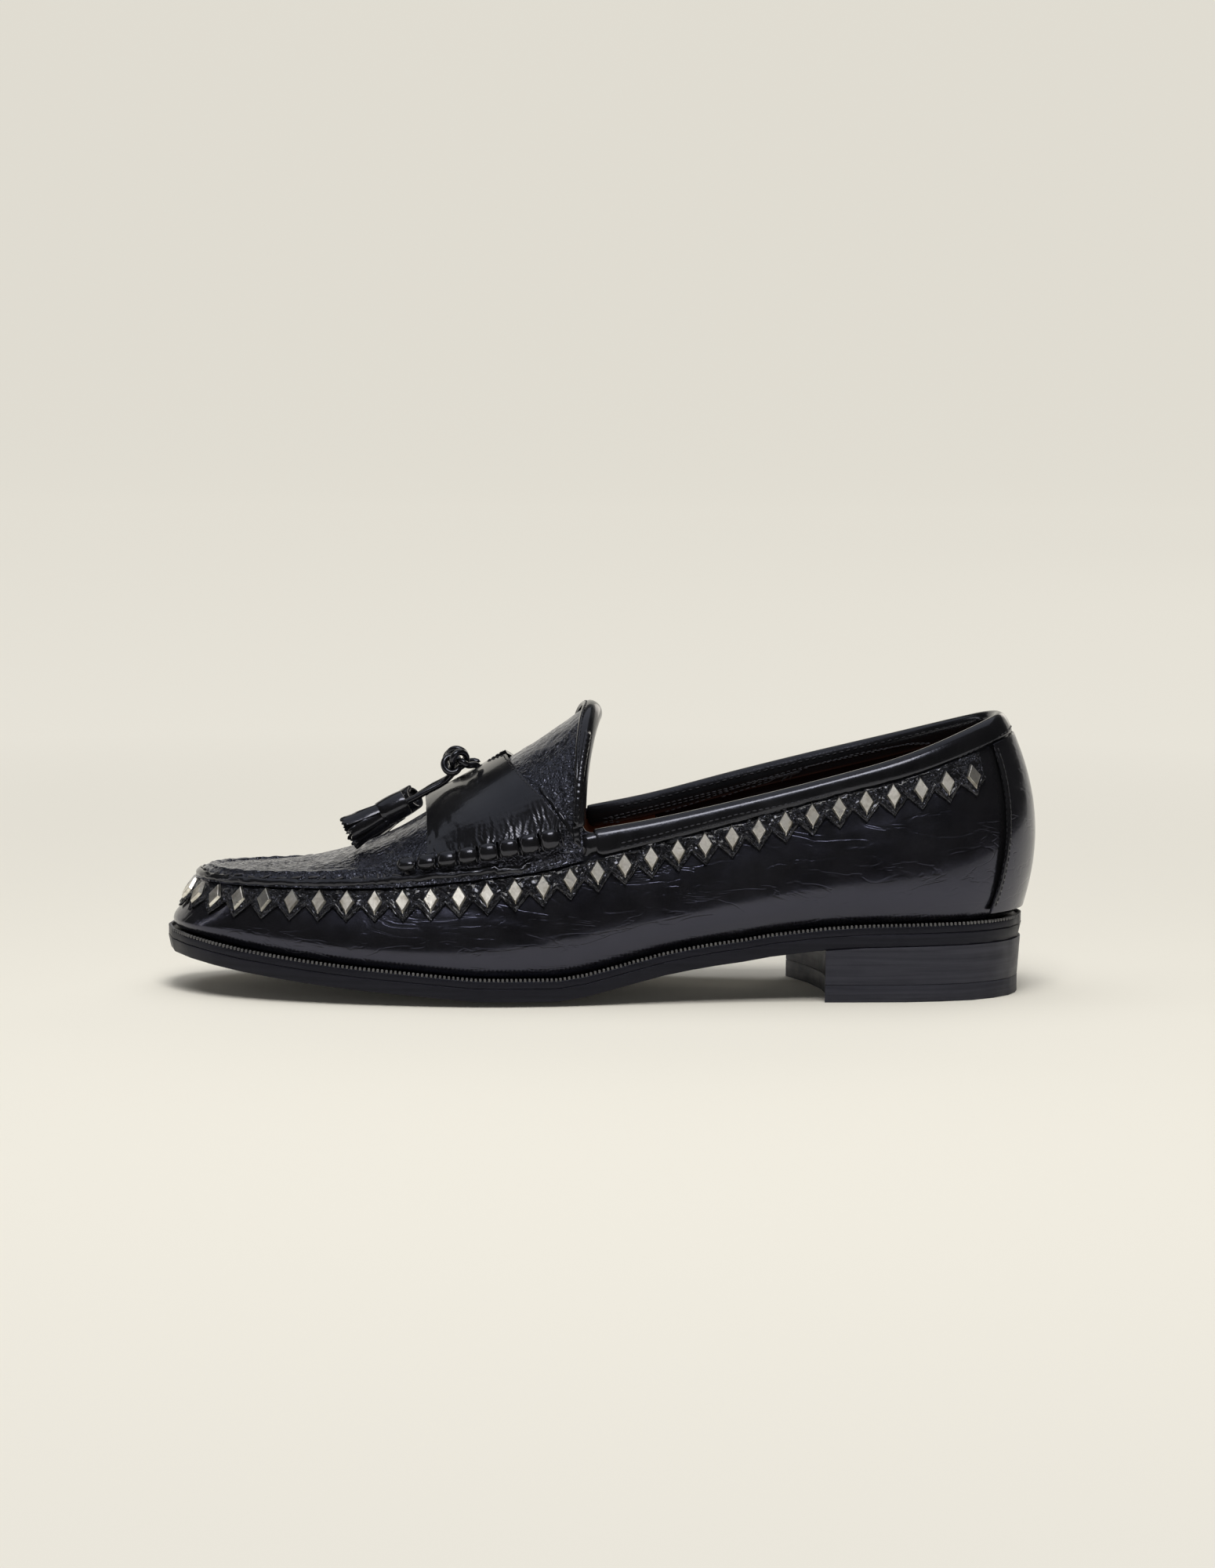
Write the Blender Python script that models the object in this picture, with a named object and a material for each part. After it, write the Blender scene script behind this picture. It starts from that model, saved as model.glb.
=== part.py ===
"""Tassel loafer for the left foot: a moccasin-fronted slip-on with a studded zigzag band.

Frame: metres, +Z up, toe towards -X, outer (lateral) side towards -Y, origin on the floor under
the middle of the shoe. The shoe's surface is one function of two numbers: the place round the
sole's edge and the height on the wall. Every piece is cut from that function.
"""

import math
from bisect import bisect_right
from collections import namedtuple
from functools import cache

import bmesh
import bpy
import numpy as np

MM = 0.001

# Thicknesses and clearances
GAP = 0.3 * MM
OUTSOLE_THICK = 4.0 * MM
WELT_THICK = 2.0 * MM
WELT_TUCK = 5.0 * MM
UPPER_WALL = 2.0 * MM
INSOLE_THICK = 2.0 * MM
RIM_ROUND = 1.5 * MM
SOLE_EDGE_ROUND = 0.9 * MM
HEEL_LIFT_THICK = 5.0 * MM
HEEL_INSET = 0.4 * MM
HEEL_TAPER = 0.8 * MM

# Apron and its raised seam: height of the plug, the folded flange and the ridge above the upper
APRON_LIFT = 0.5 * MM
APRON_THICK = 1.1 * MM
FLANGE_THICK = 1.4 * MM
GROOVE_THICK = 0.8 * MM
RIDGE_THICK = 1.7 * MM
RIDGE_IN = 2.0 * MM
PLUG_IN = 4.6 * MM
RIDGE_FADE_X = (-66.0 * MM, -56.0 * MM)
PLUG_ROWS = 6

# Saddle strap: ends of its edges along the shoe, at the rim and on the crest
SADDLE_THICK = 1.3 * MM
SADDLE_LIFT = 2.7 * MM
SADDLE_IN = 3.6 * MM
SADDLE_FRONT_RIM_X = -53.5 * MM
SADDLE_FRONT_CREST_X = -50.5 * MM
SADDLE_BACK_RIM_X = -12.0 * MM
SADDLE_BACK_CREST_X = -27.5 * MM
SADDLE_STAND = 2.6 * MM
SLIT_END_X = -40.5 * MM
SLIT_HALF = 1.0 * MM
SCALLOP_DEPTH = 4.5 * MM
SCALLOP_HALF = 4.5 * MM
SADDLE_STEPS = 5
SADDLE_SHARES = (0.0, 0.2, 0.4, 0.6, 0.74)

# Bead rolls beside the saddle
BEAD_START_X = -62.0 * MM
BEAD_END_X = -14.0 * MM
BEAD_COUNT = 8
BEAD_IN = 1.6 * MM
BEAD_RADIUS = (1.1 * MM, 1.75 * MM)
BEAD_WAIST = 0.72
BEAD_FULLNESS = 0.7
BEAD_SIDES = 8
BEAD_RINGS = 3

# Folded bindings of tongue and topline
BINDING_THICK = 1.1 * MM
BINDING_INSIDE = 6.0 * MM
BINDING_OVER = 1.5 * MM
BINDING_SEAT = 0.36 * MM
BINDING_SHOULDER = 0.3 * MM
BINDING_SWELL = 1.43 * MM
TONGUE_BINDING = 3.0 * MM
TONGUE_BINDING_OVER = 1.6 * MM
TONGUE_BINDING_FOOT = 2.5 * MM
TONGUE_STEP = 0.01
LEAST_ROW = 0.02
COLLAR_START = 0.012

# Heel counter: place of its front edge at the welt and at the topline
COUNTER_LIFT = 0.4 * MM
COUNTER_THICK = 1.1 * MM
COUNTER_FOOT = 0.05
COUNTER_FRONT_LOW = 0.912
COUNTER_FRONT_HIGH = 0.932
COUNTER_STRIP = 0.008
COUNTER_ROWS = 6

# Studded band: distances below the centre line of the studs, and the stud's own size
BAND_THICK = 0.9 * MM
BAND_VALLEY = 1.4 * MM
BAND_TIP = 6.2 * MM
STUD_HALF_TALL = 3.7 * MM
STUD_HALF_WIDE = 2.5 * MM
STUD_HIGH = 1.1 * MM
STUD_FLAT = 0.78

# Tassels: cord, cap and fringe
CORD_DIAMETER = 2.0 * MM
CORD_STEP = 0.55 * CORD_DIAMETER
CORD_RISE = 0.5 * MM
CORD_STRAIGHT = 5.0 * MM
KNOT_UNIT = 1.33 * MM
KNOT_CUT = 0.5
KNOT_POINTS = 25
CAP_RADIUS = 4.3 * MM
CAP_LENGTH = 8.8 * MM
CAP_ROUND = 0.6 * MM
CAP_SIDES = 12
FRINGE_LENGTH = 11.5 * MM
FRINGE_RADIUS = (3.9 * MM, 5.5 * MM)
FRINGE_STRIPS = 9
FRINGE_SLOT = 0.16
FRINGE_SLOT_FLOOR = 0.064
FRINGE_CORE = 0.45
FRINGE_ROOT_CORE = 0.97
FRINGE_RUNS = (0.0, 0.12, 0.5, 1.0)
FRINGE_UNEVEN = 0.6 * MM
FRINGE_PHASE = 2.4

# Heel breast: where its two corners stand and how far it is hollowed
BREAST_X_LATERAL = 67.0 * MM
BREAST_X_MEDIAL = 58.5 * MM
BREAST_HOLLOW = 5.0 * MM
HEEL_STEPS = 9
HEEL_CROWDING = 1.5

# Sections round the shoe from toe to heel, in millimetres.
# sole_*: edge of the sole.  ledge: welt that shows outside the upper.
# bulge, lean: swell of the wall and how low on the wall it is (1 is halfway up).
# rim_*: top of the wall, which is the raised seam in front of the throat and the topline behind it.
# rise: how much higher the rim is on the inner side.
# lap: how far the apron's flange or the topline's binding comes down the wall.
# stud: how far below the rim the studs are centred.
Section = namedtuple(
    "Section",
    "name sole_x sole_lat sole_med ledge bulge lean rim_x rim_lat rim_med rim_z rise lap stud",
)
SECTIONS = [
    Section("toe_tip", -132.5, 2.0, 2.0, 4.0, 2.4, 2.0, -122.0, 2.0, 2.0, 35.4, 0.0, 2.4, 6.4),
    Section("toe_round", -130.5, -9.5, 13.5, 4.0, 2.4, 2.0, -120.4, -7.0, 11.0, 35.4, -0.4, 2.4, 6.4),
    Section("toe_corner", -122.5, -21.0, 25.0, 4.1, 2.5, 2.0, -114.8, -15.5, 19.0, 35.5, -0.9, 2.4, 6.4),
    Section("toe_side", -107.0, -31.5, 35.0, 4.3, 2.7, 2.0, -102.8, -23.0, 25.0, 35.7, -1.4, 2.4, 6.5),
    Section("toes", -86.0, -38.8, 41.6, 4.5, 3.0, 2.0, -84.4, -28.2, 29.6, 36.0, -1.6, 2.6, 6.8),
    Section("ball_front", -62.0, -43.5, 45.0, 4.6, 3.2, 2.0, -62.0, -31.6, 32.2, 37.6, -1.2, 3.4, 7.9),
    Section("ball", -38.0, -45.0, 43.6, 4.4, 3.5, 1.9, -38.6, -33.0, 33.0, 42.7, -0.5, 5.9, 10.8),
    Section("ball_back", -16.0, -43.2, 38.4, 4.0, 4.0, 1.9, -16.6, -33.2, 32.4, 48.1, 0.0, 8.0, 12.6),
    Section("throat", -6.0, -41.6, 35.6, 3.8, 4.3, 1.9, -7.0, -32.6, 31.6, 51.0, 0.0, 8.2, 12.7),
    Section("waist_front", 15.0, -38.0, 30.8, 3.4, 5.0, 1.95, 14.0, -30.4, 29.4, 54.8, 0.8, 7.1, 11.2),
    Section("waist", 42.0, -34.2, 27.6, 3.2, 5.6, 2.0, 42.0, -28.0, 27.0, 60.9, 2.5, 6.2, 10.3),
    Section("breast", 69.0, -31.6, 27.6, 3.0, 5.9, 2.0, 68.0, -25.4, 24.8, 67.2, 3.1, 5.4, 9.6),
    Section("heel_mid", 96.0, -30.0, 29.0, 2.6, 6.2, 1.75, 93.0, -21.4, 21.4, 74.2, 2.6, 6.2, 11.1),
    Section("heel_round", 115.6, -23.6, 24.2, 2.2, 6.8, 1.35, 110.0, -14.8, 15.2, 80.8, 1.0, 6.8, 14.0),
    Section("heel_corner", 125.7, -13.2, 14.2, 1.9, 7.2, 1.0, 119.0, -7.6, 8.4, 84.4, 0.3, 6.8, 15.0),
    Section("heel_back", 129.2, 0.4, 0.4, 1.7, 7.3, 1.0, 121.8, 0.4, 0.4, 85.2, 0.0, 6.8, 15.2),
]

# Crest of the vamp and tongue at the front sections, in millimetres, with arch as the power of
# the curve that runs up to it from the rim.
Crest = namedtuple("Crest", "section x z arch")
CREST = [
    Crest("toe_tip", -100.5, 35.8, 2.0),
    Crest("toe_round", -99.0, 35.9, 2.0),
    Crest("toe_corner", -96.0, 36.1, 2.0),
    Crest("toe_side", -90.5, 36.7, 2.0),
    Crest("toes", -78.0, 40.1, 1.9),
    Crest("ball_front", -59.0, 48.3, 1.7),
    Crest("ball", -36.0, 64.1, 1.4),
    Crest("ball_back", -13.5, 78.4, 1.2),
    Crest("throat", -1.5, 87.0, 1.1),
]

# Underside of the outsole along its middle, in millimetres: toe spring, flat tread, arch, heel seat
Underside = namedtuple("Underside", "x z")
UNDERSIDE = [
    Underside(-140.0, 13.3),
    Underside(-132.5, 12.0),
    Underside(-120.0, 10.1),
    Underside(-100.0, 6.8),
    Underside(-80.0, 3.6),
    Underside(-60.0, 1.9),
    Underside(-46.0, 0.7),
    Underside(-36.0, 0.0),
    Underside(-14.0, 0.0),
    Underside(0.0, 2.8),
    Underside(20.0, 7.8),
    Underside(40.0, 11.2),
    Underside(56.0, 14.7),
    Underside(68.0, 16.0),
    Underside(84.0, 16.8),
    Underside(110.0, 17.1),
    Underside(140.0, 17.3),
]

# Where each tassel lies: x along the crest, q across it (2 is the crest) and height above the upper
Tassel = namedtuple(
    "Tassel",
    "side hole_x hole_q knot_x knot_q knot_lift cap_x cap_q cap_lift tip_x tip_q tip_lift",
)
TASSELS = [
    Tassel("lateral", -35.0, 1.90, -38.8, 1.88, 9.4, -54.6, 1.86, 8.6, -73.4, 1.80, 7.6),
    Tassel("medial", -35.0, 1.90, -38.8, 1.84, 9.4, -51.0, 1.58, 9.0, -64.5, 1.36, 9.2),
]

# Rise of the sole's edges above its flat middle: it grows behind the toe and ends before the heel
TREAD_CROWN = 1.6 * MM
TREAD_FLAT = 0.5
CROWN_X = (-112.0 * MM, -80.0 * MM, 36.0 * MM, 58.0 * MM)

# Stations: studs (one per step) before the throat and behind it, and steps across the counter
FRONT_STEPS = 16
REAR_STEPS = 15
COUNTER_STEPS = 3
BAND_END = 0.914
WALL_ROWS = 7
TOP_ROWS = 6
PLACE_STEP = 0.002
NEAR_CREST = 1.9

NAMES = [row.name for row in SECTIONS]
THROAT_ROW = NAMES.index("throat")


def unit(vector):
    return vector / np.linalg.norm(vector)


class Curve:
    """Smooth curve through a table: cubic, with three-point slopes unless others are given."""

    def __init__(self, knots, values, slopes=None):
        self.knots = list(knots)
        self.values = np.array(values)
        self.slopes = np.gradient(self.values, self.knots, axis=0) if slopes is None else slopes

    def at(self, place):
        i = min(max(bisect_right(self.knots, place) - 1, 0), len(self.knots) - 2)
        span = self.knots[i + 1] - self.knots[i]
        t = (place - self.knots[i]) / span
        start = (1 + 2 * t) * self.values[i] + t * span * self.slopes[i]
        end = (3 - 2 * t) * self.values[i + 1] + (t - 1) * span * self.slopes[i + 1]
        return (1 - t) ** 2 * start + t * t * end


def level_slopes(knots, values):
    """Slopes for a curve with no overshoot: a level stretch of the table stays level."""
    steps = [float(s) for s in np.diff(values) / np.diff(knots)]
    slopes = [steps[0]]
    for before, after in zip(steps, steps[1:]):
        slopes.append(0.0 if before * after <= 0 else 2 * before * after / (before + after))
    return slopes + [steps[-1]]


def perimeter_tables():
    """Tables round the whole edge: place 0 at the toe, 1 at the heel, 2 at the toe again.

    The outer side runs from 0 to 1 and the inner side from 1 to 2. The ends repeat, so that the
    curves pass through toe and heel without a corner.
    """
    lateral = np.array([[r.sole_x, r.sole_lat] for r in SECTIONS])
    medial = np.array([[r.sole_x, r.sole_med] for r in SECTIONS])
    steps = [np.linalg.norm(np.diff(side, axis=0), axis=1) for side in (lateral, medial)]
    place = np.concatenate([[0.0], np.cumsum(steps[0] + steps[1])])
    place /= place[-1]

    def columns(row, side):
        sole_y, rim_y = (row.sole_lat, row.rim_lat) if side < 0 else (row.sole_med, row.rim_med)
        rim_z = row.rim_z + (row.rise if side > 0 else 0)
        lean = row.lean / MM
        return [row.sole_x, sole_y, row.ledge, row.bulge, lean, row.rim_x, rim_y, rim_z, row.lap, row.stud]

    loop_place = list(place) + [2 - s for s in place[-2:0:-1]]
    loop_rows = [columns(r, -1) for r in SECTIONS] + [columns(r, 1) for r in SECTIONS[-2:0:-1]]
    count = len(loop_place)
    reach = 4
    knots, values = [], []
    for i in range(-reach, count + reach):
        turn = 2.0 * (i // count)
        knots.append(loop_place[i % count] + turn)
        values.append(loop_rows[i % count])
    spine = [[r.x, r.z, r.arch] for r in CREST]
    spine_knots = [-s for s in place[reach:0:-1]] + list(place[: THROAT_ROW + 1])
    spine_values = [spine[i] for i in range(reach, 0, -1)] + spine
    return place, Curve(knots, values), Curve(spine_knots, spine_values)


PLACE, EDGE_CURVE, SPINE_CURVE = perimeter_tables()
THROAT = PLACE[THROAT_ROW]
Edge = namedtuple("Edge", "sole_x sole_y ledge bulge lean rim_x rim_y rim_z lap stud")
UNDER_X = [row.x * MM for row in UNDERSIDE]
UNDER_Z = [row.z * MM for row in UNDERSIDE]
UNDER_CURVE = Curve(UNDER_X, UNDER_Z, level_slopes(UNDER_X, UNDER_Z))


@cache
def edge(place):
    """The section at a place round the shoe, in metres."""
    return Edge(*(EDGE_CURVE.at(place % 2.0) * MM))


def underside(x):
    return float(UNDER_CURVE.at(x))


@cache
def sole_edge(place, inset=0.0):
    """Point of the sole's outline in plan, moved in by inset, with its outward direction."""
    here = edge(place)
    before, after = edge(place - PLACE_STEP), edge(place + PLACE_STEP)
    along = unit(np.array([after.sole_x - before.sole_x, after.sole_y - before.sole_y]))
    outward = np.array([along[1], -along[0]])
    return np.array([here.sole_x, here.sole_y]) - inset * outward, outward


def outline_table(samples=400):
    """The sole's outline as x, outer y and inner y, for finding how far across a point is."""
    places = np.linspace(0.0, 1.0, samples)
    sides = [[edge(p) for p in side] for side in (places, 2 - places)]
    return [np.array(column) for column in zip(*[(a.sole_x, a.sole_y, b.sole_y) for a, b in zip(*sides)])]


OUTLINE = outline_table()


def tread(plan):
    """Height of the sole's underside at a plan point: its edges stand a little above its middle."""
    x, y = plan
    outer, inner = (np.interp(x, OUTLINE[0], side) for side in OUTLINE[1:])
    across = abs(2 * y - outer - inner) / max(inner - outer, MM)
    rise = min(max((across - TREAD_FLAT) / (1 - TREAD_FLAT), 0.0), 1.0)
    return underside(x) + TREAD_CROWN * rise * np.interp(x, CROWN_X, (0.0, 1.0, 1.0, 0.0))


def welt_top(plan):
    return tread(plan) + OUTSOLE_THICK + GAP + WELT_THICK


def last_point(place, q):
    """Point of the upper's outside: q is 0 at the welt, 1 at the rim and 2 on the vamp's crest."""
    if q > 2:
        place, q = 2 - place, 4 - q
    here = edge(place)
    rim = np.array([here.rim_x, here.rim_y, here.rim_z])
    if q <= 1:
        foot, outward = sole_edge(place, here.ledge)
        base = np.array([*foot, welt_top(foot) + GAP])
        lean = here.lean
        fullest = (lean / (1 + lean)) ** lean / (1 + lean)
        swell = here.bulge * q * (1 - q) ** lean / fullest
        return base + (rim - base) * q + np.array([*(outward * swell), 0.0])
    toe_place = min(place % 2.0, 2 - place % 2.0)
    spine_x, spine_z, arch = SPINE_CURVE.at(toe_place)
    crest = np.array([spine_x * MM, (here.rim_y + edge(2 - place).rim_y) / 2, spine_z * MM])
    turn = (q - 1) * math.pi / 2
    plan = rim[:2] + (crest[:2] - rim[:2]) * (1 - math.cos(turn))
    return np.array([*plan, rim[2] + (crest[2] - rim[2]) * math.sin(turn) ** arch])


def in_front(place):
    place %= 2.0
    return place <= THROAT + 1e-9 or place >= 2 - THROAT - 1e-9


@cache
def row_lengths(place):
    """Length up the row at a place, from the welt, with the q of each sample."""
    steps = np.linspace(0.0, 2.0, 81) if in_front(place) else np.linspace(0.0, 1.0, 41)
    line = np.array([last_point(place, q) for q in steps])
    runs = np.linalg.norm(np.diff(line, axis=0), axis=1)
    return np.concatenate([[0.0], np.cumsum(runs)]), steps


def from_rim(place, distance):
    """The q of the point at a distance from the rim along its row: up if positive, else down."""
    lengths, steps = row_lengths(place)
    return float(np.interp(np.interp(1.0, steps, lengths) + distance, lengths, steps))


def outward_at(place, q):
    """Direction straight out of the upper's surface, rounded where the row turns at the rim."""
    along = last_point(place + PLACE_STEP, q) - last_point(place - PLACE_STEP, q)
    lengths, steps = row_lengths(place)
    if q > NEAR_CREST:
        up = last_point(place, q + PLACE_STEP) - last_point(place, q - PLACE_STEP)
    else:
        here = np.interp(q, steps, lengths)
        low, high = np.interp([here - RIM_ROUND, here + RIM_ROUND], lengths, steps)
        up = last_point(place, high) - last_point(place, low)
    normal = np.cross(along, up)
    size = np.linalg.norm(normal)
    tip_of_crest = size < 1e-12
    return np.array([0.0, 0.0, 1.0]) if tip_of_crest else normal / size


def skin(place, q, lift=0.0):
    """Point at a distance from the upper's outside, outwards if lift is positive."""
    return last_point(place, q) + lift * outward_at(place, q)


def even_places(start, end, steps):
    """Places between two places that are the same distance apart along the line of studs."""
    fine = np.linspace(start, end, 6 * steps + 1)
    lines = [[last_point(p, from_rim(p, -edge(p).stud)) for p in side] for side in (fine, 2 - fine)]
    runs = [np.linalg.norm(np.diff(line, axis=0), axis=1) for line in lines]
    length = np.concatenate([[0.0], np.cumsum(runs[0] + runs[1])])
    return list(np.interp(np.linspace(0, length[-1], steps + 1), length, fine))


FRONT_PLACES = even_places(0.0, THROAT, FRONT_STEPS)
REAR_PLACES = even_places(THROAT, BAND_END, REAR_STEPS)
COUNTER_PLACES = list(np.linspace(BAND_END, 1.0, COUNTER_STEPS + 1))
SIDE_PLACES = FRONT_PLACES + REAR_PLACES[1:] + COUNTER_PLACES[1:]
HEEL_STATION = len(SIDE_PLACES) - 1
STATIONS = 2 * HEEL_STATION
THROAT_STATION = FRONT_STEPS
COUNTER_STATION = FRONT_STEPS + REAR_STEPS


def station_place(i):
    """Place of a station: they are counted from the toe along the outer side and back again."""
    i %= STATIONS
    return SIDE_PLACES[i] if i <= HEEL_STATION else 2 - SIDE_PLACES[STATIONS - i]


class Sheet:
    """A closed solid between two matching surfaces, joined round every free edge."""

    def __init__(self):
        self.index = {}
        self.outer = []
        self.inner = []
        self.faces = []

    def point(self, key, outer, inner):
        if key not in self.index:
            self.index[key] = len(self.outer)
            self.outer.append(outer)
            self.inner.append(inner)

    def face(self, *keys):
        corners = []
        for key in keys:
            if self.index[key] not in corners:
                corners.append(self.index[key])
        if len(corners) > 2:
            self.faces.append(corners)

    def build(self, name, material):
        count = len(self.outer)
        faces = self.faces + [[i + count for i in reversed(f)] for f in self.faces]
        sides = {(f[i - 1], f[i]) for f in self.faces for i in range(len(f))}
        for a, b in sorted(sides):
            if (b, a) not in sides:
                faces.append([b, a, a + count, b + count])
        return mesh_object(name, self.outer + self.inner, faces, material)


def mesh_object(name, points, faces, material):
    mesh = bpy.data.meshes.new(name)
    mesh.from_pydata([tuple(map(float, p)) for p in points], [], faces)
    mesh.validate()
    shape = bmesh.new()
    shape.from_mesh(mesh)
    if shape.calc_volume(signed=True) < 0:
        bmesh.ops.reverse_faces(shape, faces=shape.faces)
    shape.to_mesh(mesh)
    shape.free()
    mesh.shade_smooth()
    mesh.set_sharp_from_angle(angle=math.radians(40))
    mesh.materials.append(material)
    obj = bpy.data.objects.new(name, mesh)
    bpy.context.scene.collection.objects.link(obj)
    return obj


def material(name, colour, roughness, metallic=0.0):
    made = bpy.data.materials.new(name)
    made.use_nodes = True
    shader = made.node_tree.nodes["Principled BSDF"]
    shader.inputs["Base Color"].default_value = (*colour, 1.0)
    shader.inputs["Roughness"].default_value = roughness
    shader.inputs["Metallic"].default_value = metallic
    return made


def slab(name, tops, bottoms, finish):
    """A solid between two sets of rows of points that run across the shoe."""
    sheet = Sheet()
    for i, (top, bottom) in enumerate(zip(tops, bottoms)):
        one_point = np.ptp(np.array(top), axis=0).max() < 0.01 * MM
        for j in range(len(top)):
            key = (i, 0 if one_point else j)
            sheet.point(key, top[j], bottom[j])
            sheet.index.setdefault((i, j), sheet.index[key])
    for i in range(len(tops) - 1):
        for j in range(len(tops[0]) - 1):
            sheet.face((i, j), (i + 1, j), (i + 1, j + 1), (i, j + 1))
    return sheet.build(name, finish)


def rows_across(inset, height, columns=4):
    """Rows of points from the outer to the inner edge of the sole, from toe to heel."""
    rows = []
    for place in SIDE_PLACES:
        ends = [sole_edge(p, inset(p))[0] for p in (place, 2 - place)]
        row = [ends[0] + (ends[1] - ends[0]) * j / columns for j in range(columns + 1)]
        rows.append([(*plan, height(plan)) for plan in row])
    return rows


def make_outsole(finish):
    """Outsole: its lower corner is drawn in, and it rises from the tread to the toe and the arch."""
    tops = rows_across(lambda p: 0.0, lambda plan: tread(plan) + OUTSOLE_THICK)
    bottoms = rows_across(lambda p: SOLE_EDGE_ROUND, tread)
    return slab("outsole", tops, bottoms, finish)


def make_welt(finish):
    """Welt: a strip on the outsole, all round the shoe, tucked under the upper."""
    sheet = Sheet()
    for i in range(STATIONS):
        place = station_place(i)
        for j, inset in enumerate((GAP / 2, edge(place).ledge + WELT_TUCK)):
            plan = sole_edge(place, inset)[0]
            high = welt_top(plan)
            sheet.point((i, j), (*plan, high), (*plan, high - WELT_THICK))
    for i in range(STATIONS):
        k = (i + 1) % STATIONS
        sheet.face((i, 0), (k, 0), (k, 1), (i, 1))
    return sheet.build("welt", finish)


def make_insole(finish):
    """Insole: the footbed, just inside the upper's wall."""

    def inset(place):
        return edge(place).ledge + UPPER_WALL + 2 * GAP

    bottoms = rows_across(inset, lambda plan: welt_top(plan) + GAP, columns=2)
    tops = rows_across(inset, lambda plan: welt_top(plan) + GAP + INSOLE_THICK, columns=2)
    return slab("insole", tops, bottoms, finish)


def breast_place(x, side):
    """Place on one side of the sole's edge that has a given x, near the heel."""
    low, high = PLACE[NAMES.index("waist")], PLACE[NAMES.index("heel_mid")]
    for _ in range(40):
        middle = (low + high) / 2
        beyond = edge(middle if side < 0 else 2 - middle).sole_x > x
        low, high = (low, middle) if beyond else (middle, high)
    return low


def heel_rows(inset, height, columns=4):
    """Rows of points across the heel from its hollowed breast to its back."""
    starts = [breast_place(BREAST_X_LATERAL, -1), breast_place(BREAST_X_MEDIAL, 1)]
    rows = []
    for i in range(HEEL_STEPS + 1):
        run = 1 - (1 - i / HEEL_STEPS) ** HEEL_CROWDING
        lateral = sole_edge(starts[0] + (1 - starts[0]) * run, inset)[0]
        medial = sole_edge(2 - starts[1] - (1 - starts[1]) * run, inset)[0]
        row = []
        for j in range(columns + 1):
            t = j / columns
            hollow = BREAST_HOLLOW * 4 * t * (1 - t) * (1 - run) ** 2
            x, y = lateral + (medial - lateral) * t + np.array([hollow, 0.0])
            row.append((x, y, height(x)))
        rows.append(row)
    return rows


def make_heel(stack_finish, lift_finish):
    """Stacked heel under the outsole and the lift that stands on the floor."""
    foot = HEEL_INSET + HEEL_TAPER
    slab(
        "heel_stack",
        heel_rows(HEEL_INSET, lambda x: underside(x) - GAP),
        heel_rows(foot, lambda x: HEEL_LIFT_THICK + GAP),
        stack_finish,
    )
    slab(
        "heel_lift",
        heel_rows(foot, lambda x: HEEL_LIFT_THICK),
        heel_rows(foot, lambda x: 0.0),
        lift_finish,
    )


def make_upper(finish):
    """Upper: one hollow wall, from the welt up to the topline and over the vamp to the tongue."""
    sheet = Sheet()

    def key(i, row):
        on_crest = row == WALL_ROWS + TOP_ROWS
        i %= STATIONS
        return (min(i, STATIONS - i) if on_crest else i, row)

    def before_throat(i):
        return i <= THROAT_STATION or i >= STATIONS - THROAT_STATION

    for i in range(STATIONS):
        place = station_place(i)
        rows = WALL_ROWS + TOP_ROWS if before_throat(i) else WALL_ROWS
        for row in range(rows + 1):
            q = row / WALL_ROWS if row <= WALL_ROWS else 1 + (row - WALL_ROWS) / TOP_ROWS
            sheet.point(key(i, row), skin(place, q), skin(place, q, -UPPER_WALL))
    for i in range(STATIONS):
        front = before_throat(i) and before_throat((i + 1) % STATIONS)
        for row in range(WALL_ROWS + TOP_ROWS if front else WALL_ROWS):
            sheet.face(key(i, row), key(i + 1, row), key(i + 1, row + 1), key(i, row + 1))
    return sheet.build("upper", finish)


def place_at_x(x, column):
    """Place on the outer side, in front of the throat, where the rim or the crest has a given x."""
    low, high = 0.0, THROAT
    for _ in range(40):
        middle = (low + high) / 2
        beyond = last_point(middle, column)[0] > x
        low, high = (low, middle) if beyond else (middle, high)
    return low


def apron_lines(place):
    """Lines of the apron up its row: q, with the heights of its two faces above the upper."""
    fade = np.interp(edge(place).rim_x, RIDGE_FADE_X, (1.0, 0.0))
    lap = edge(place).lap
    plain = APRON_THICK
    lines = [
        (-lap, FLANGE_THICK),
        (0.0, plain + (GROOVE_THICK - plain) * fade),
        (RIDGE_IN, plain + (RIDGE_THICK - plain) * fade),
        (PLUG_IN, plain),
    ]
    rows = [(from_rim(place, run), thick) for run, thick in lines]
    start = rows[-1][0]
    rows += [(start + (2 - start) * j / PLUG_ROWS, plain) for j in range(1, PLUG_ROWS + 1)]
    return [(q, APRON_LIFT, APRON_LIFT + thick) for q, thick in rows]


def make_apron(finish):
    """Apron: the plug with its raised seam, its flange lapped over the wall, and the tongue's face."""
    sheet = Sheet()
    stations = [i % STATIONS for i in range(-THROAT_STATION, THROAT_STATION + 1)]

    def key(i, row, last):
        return (min(i, STATIONS - i) if row == last else i, row)

    for i in stations:
        lines = apron_lines(station_place(i))
        last = len(lines) - 1
        for row, (q, low, high) in enumerate(lines):
            place = station_place(i)
            sheet.point(key(i, row, last), skin(place, q, high), skin(place, q, low))
    for i, k in zip(stations, stations[1:]):
        for row in range(last):
            sheet.face(key(i, row, last), key(k, row, last), key(k, row + 1, last), key(i, row + 1, last))
    return sheet.build("apron", finish)


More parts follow.
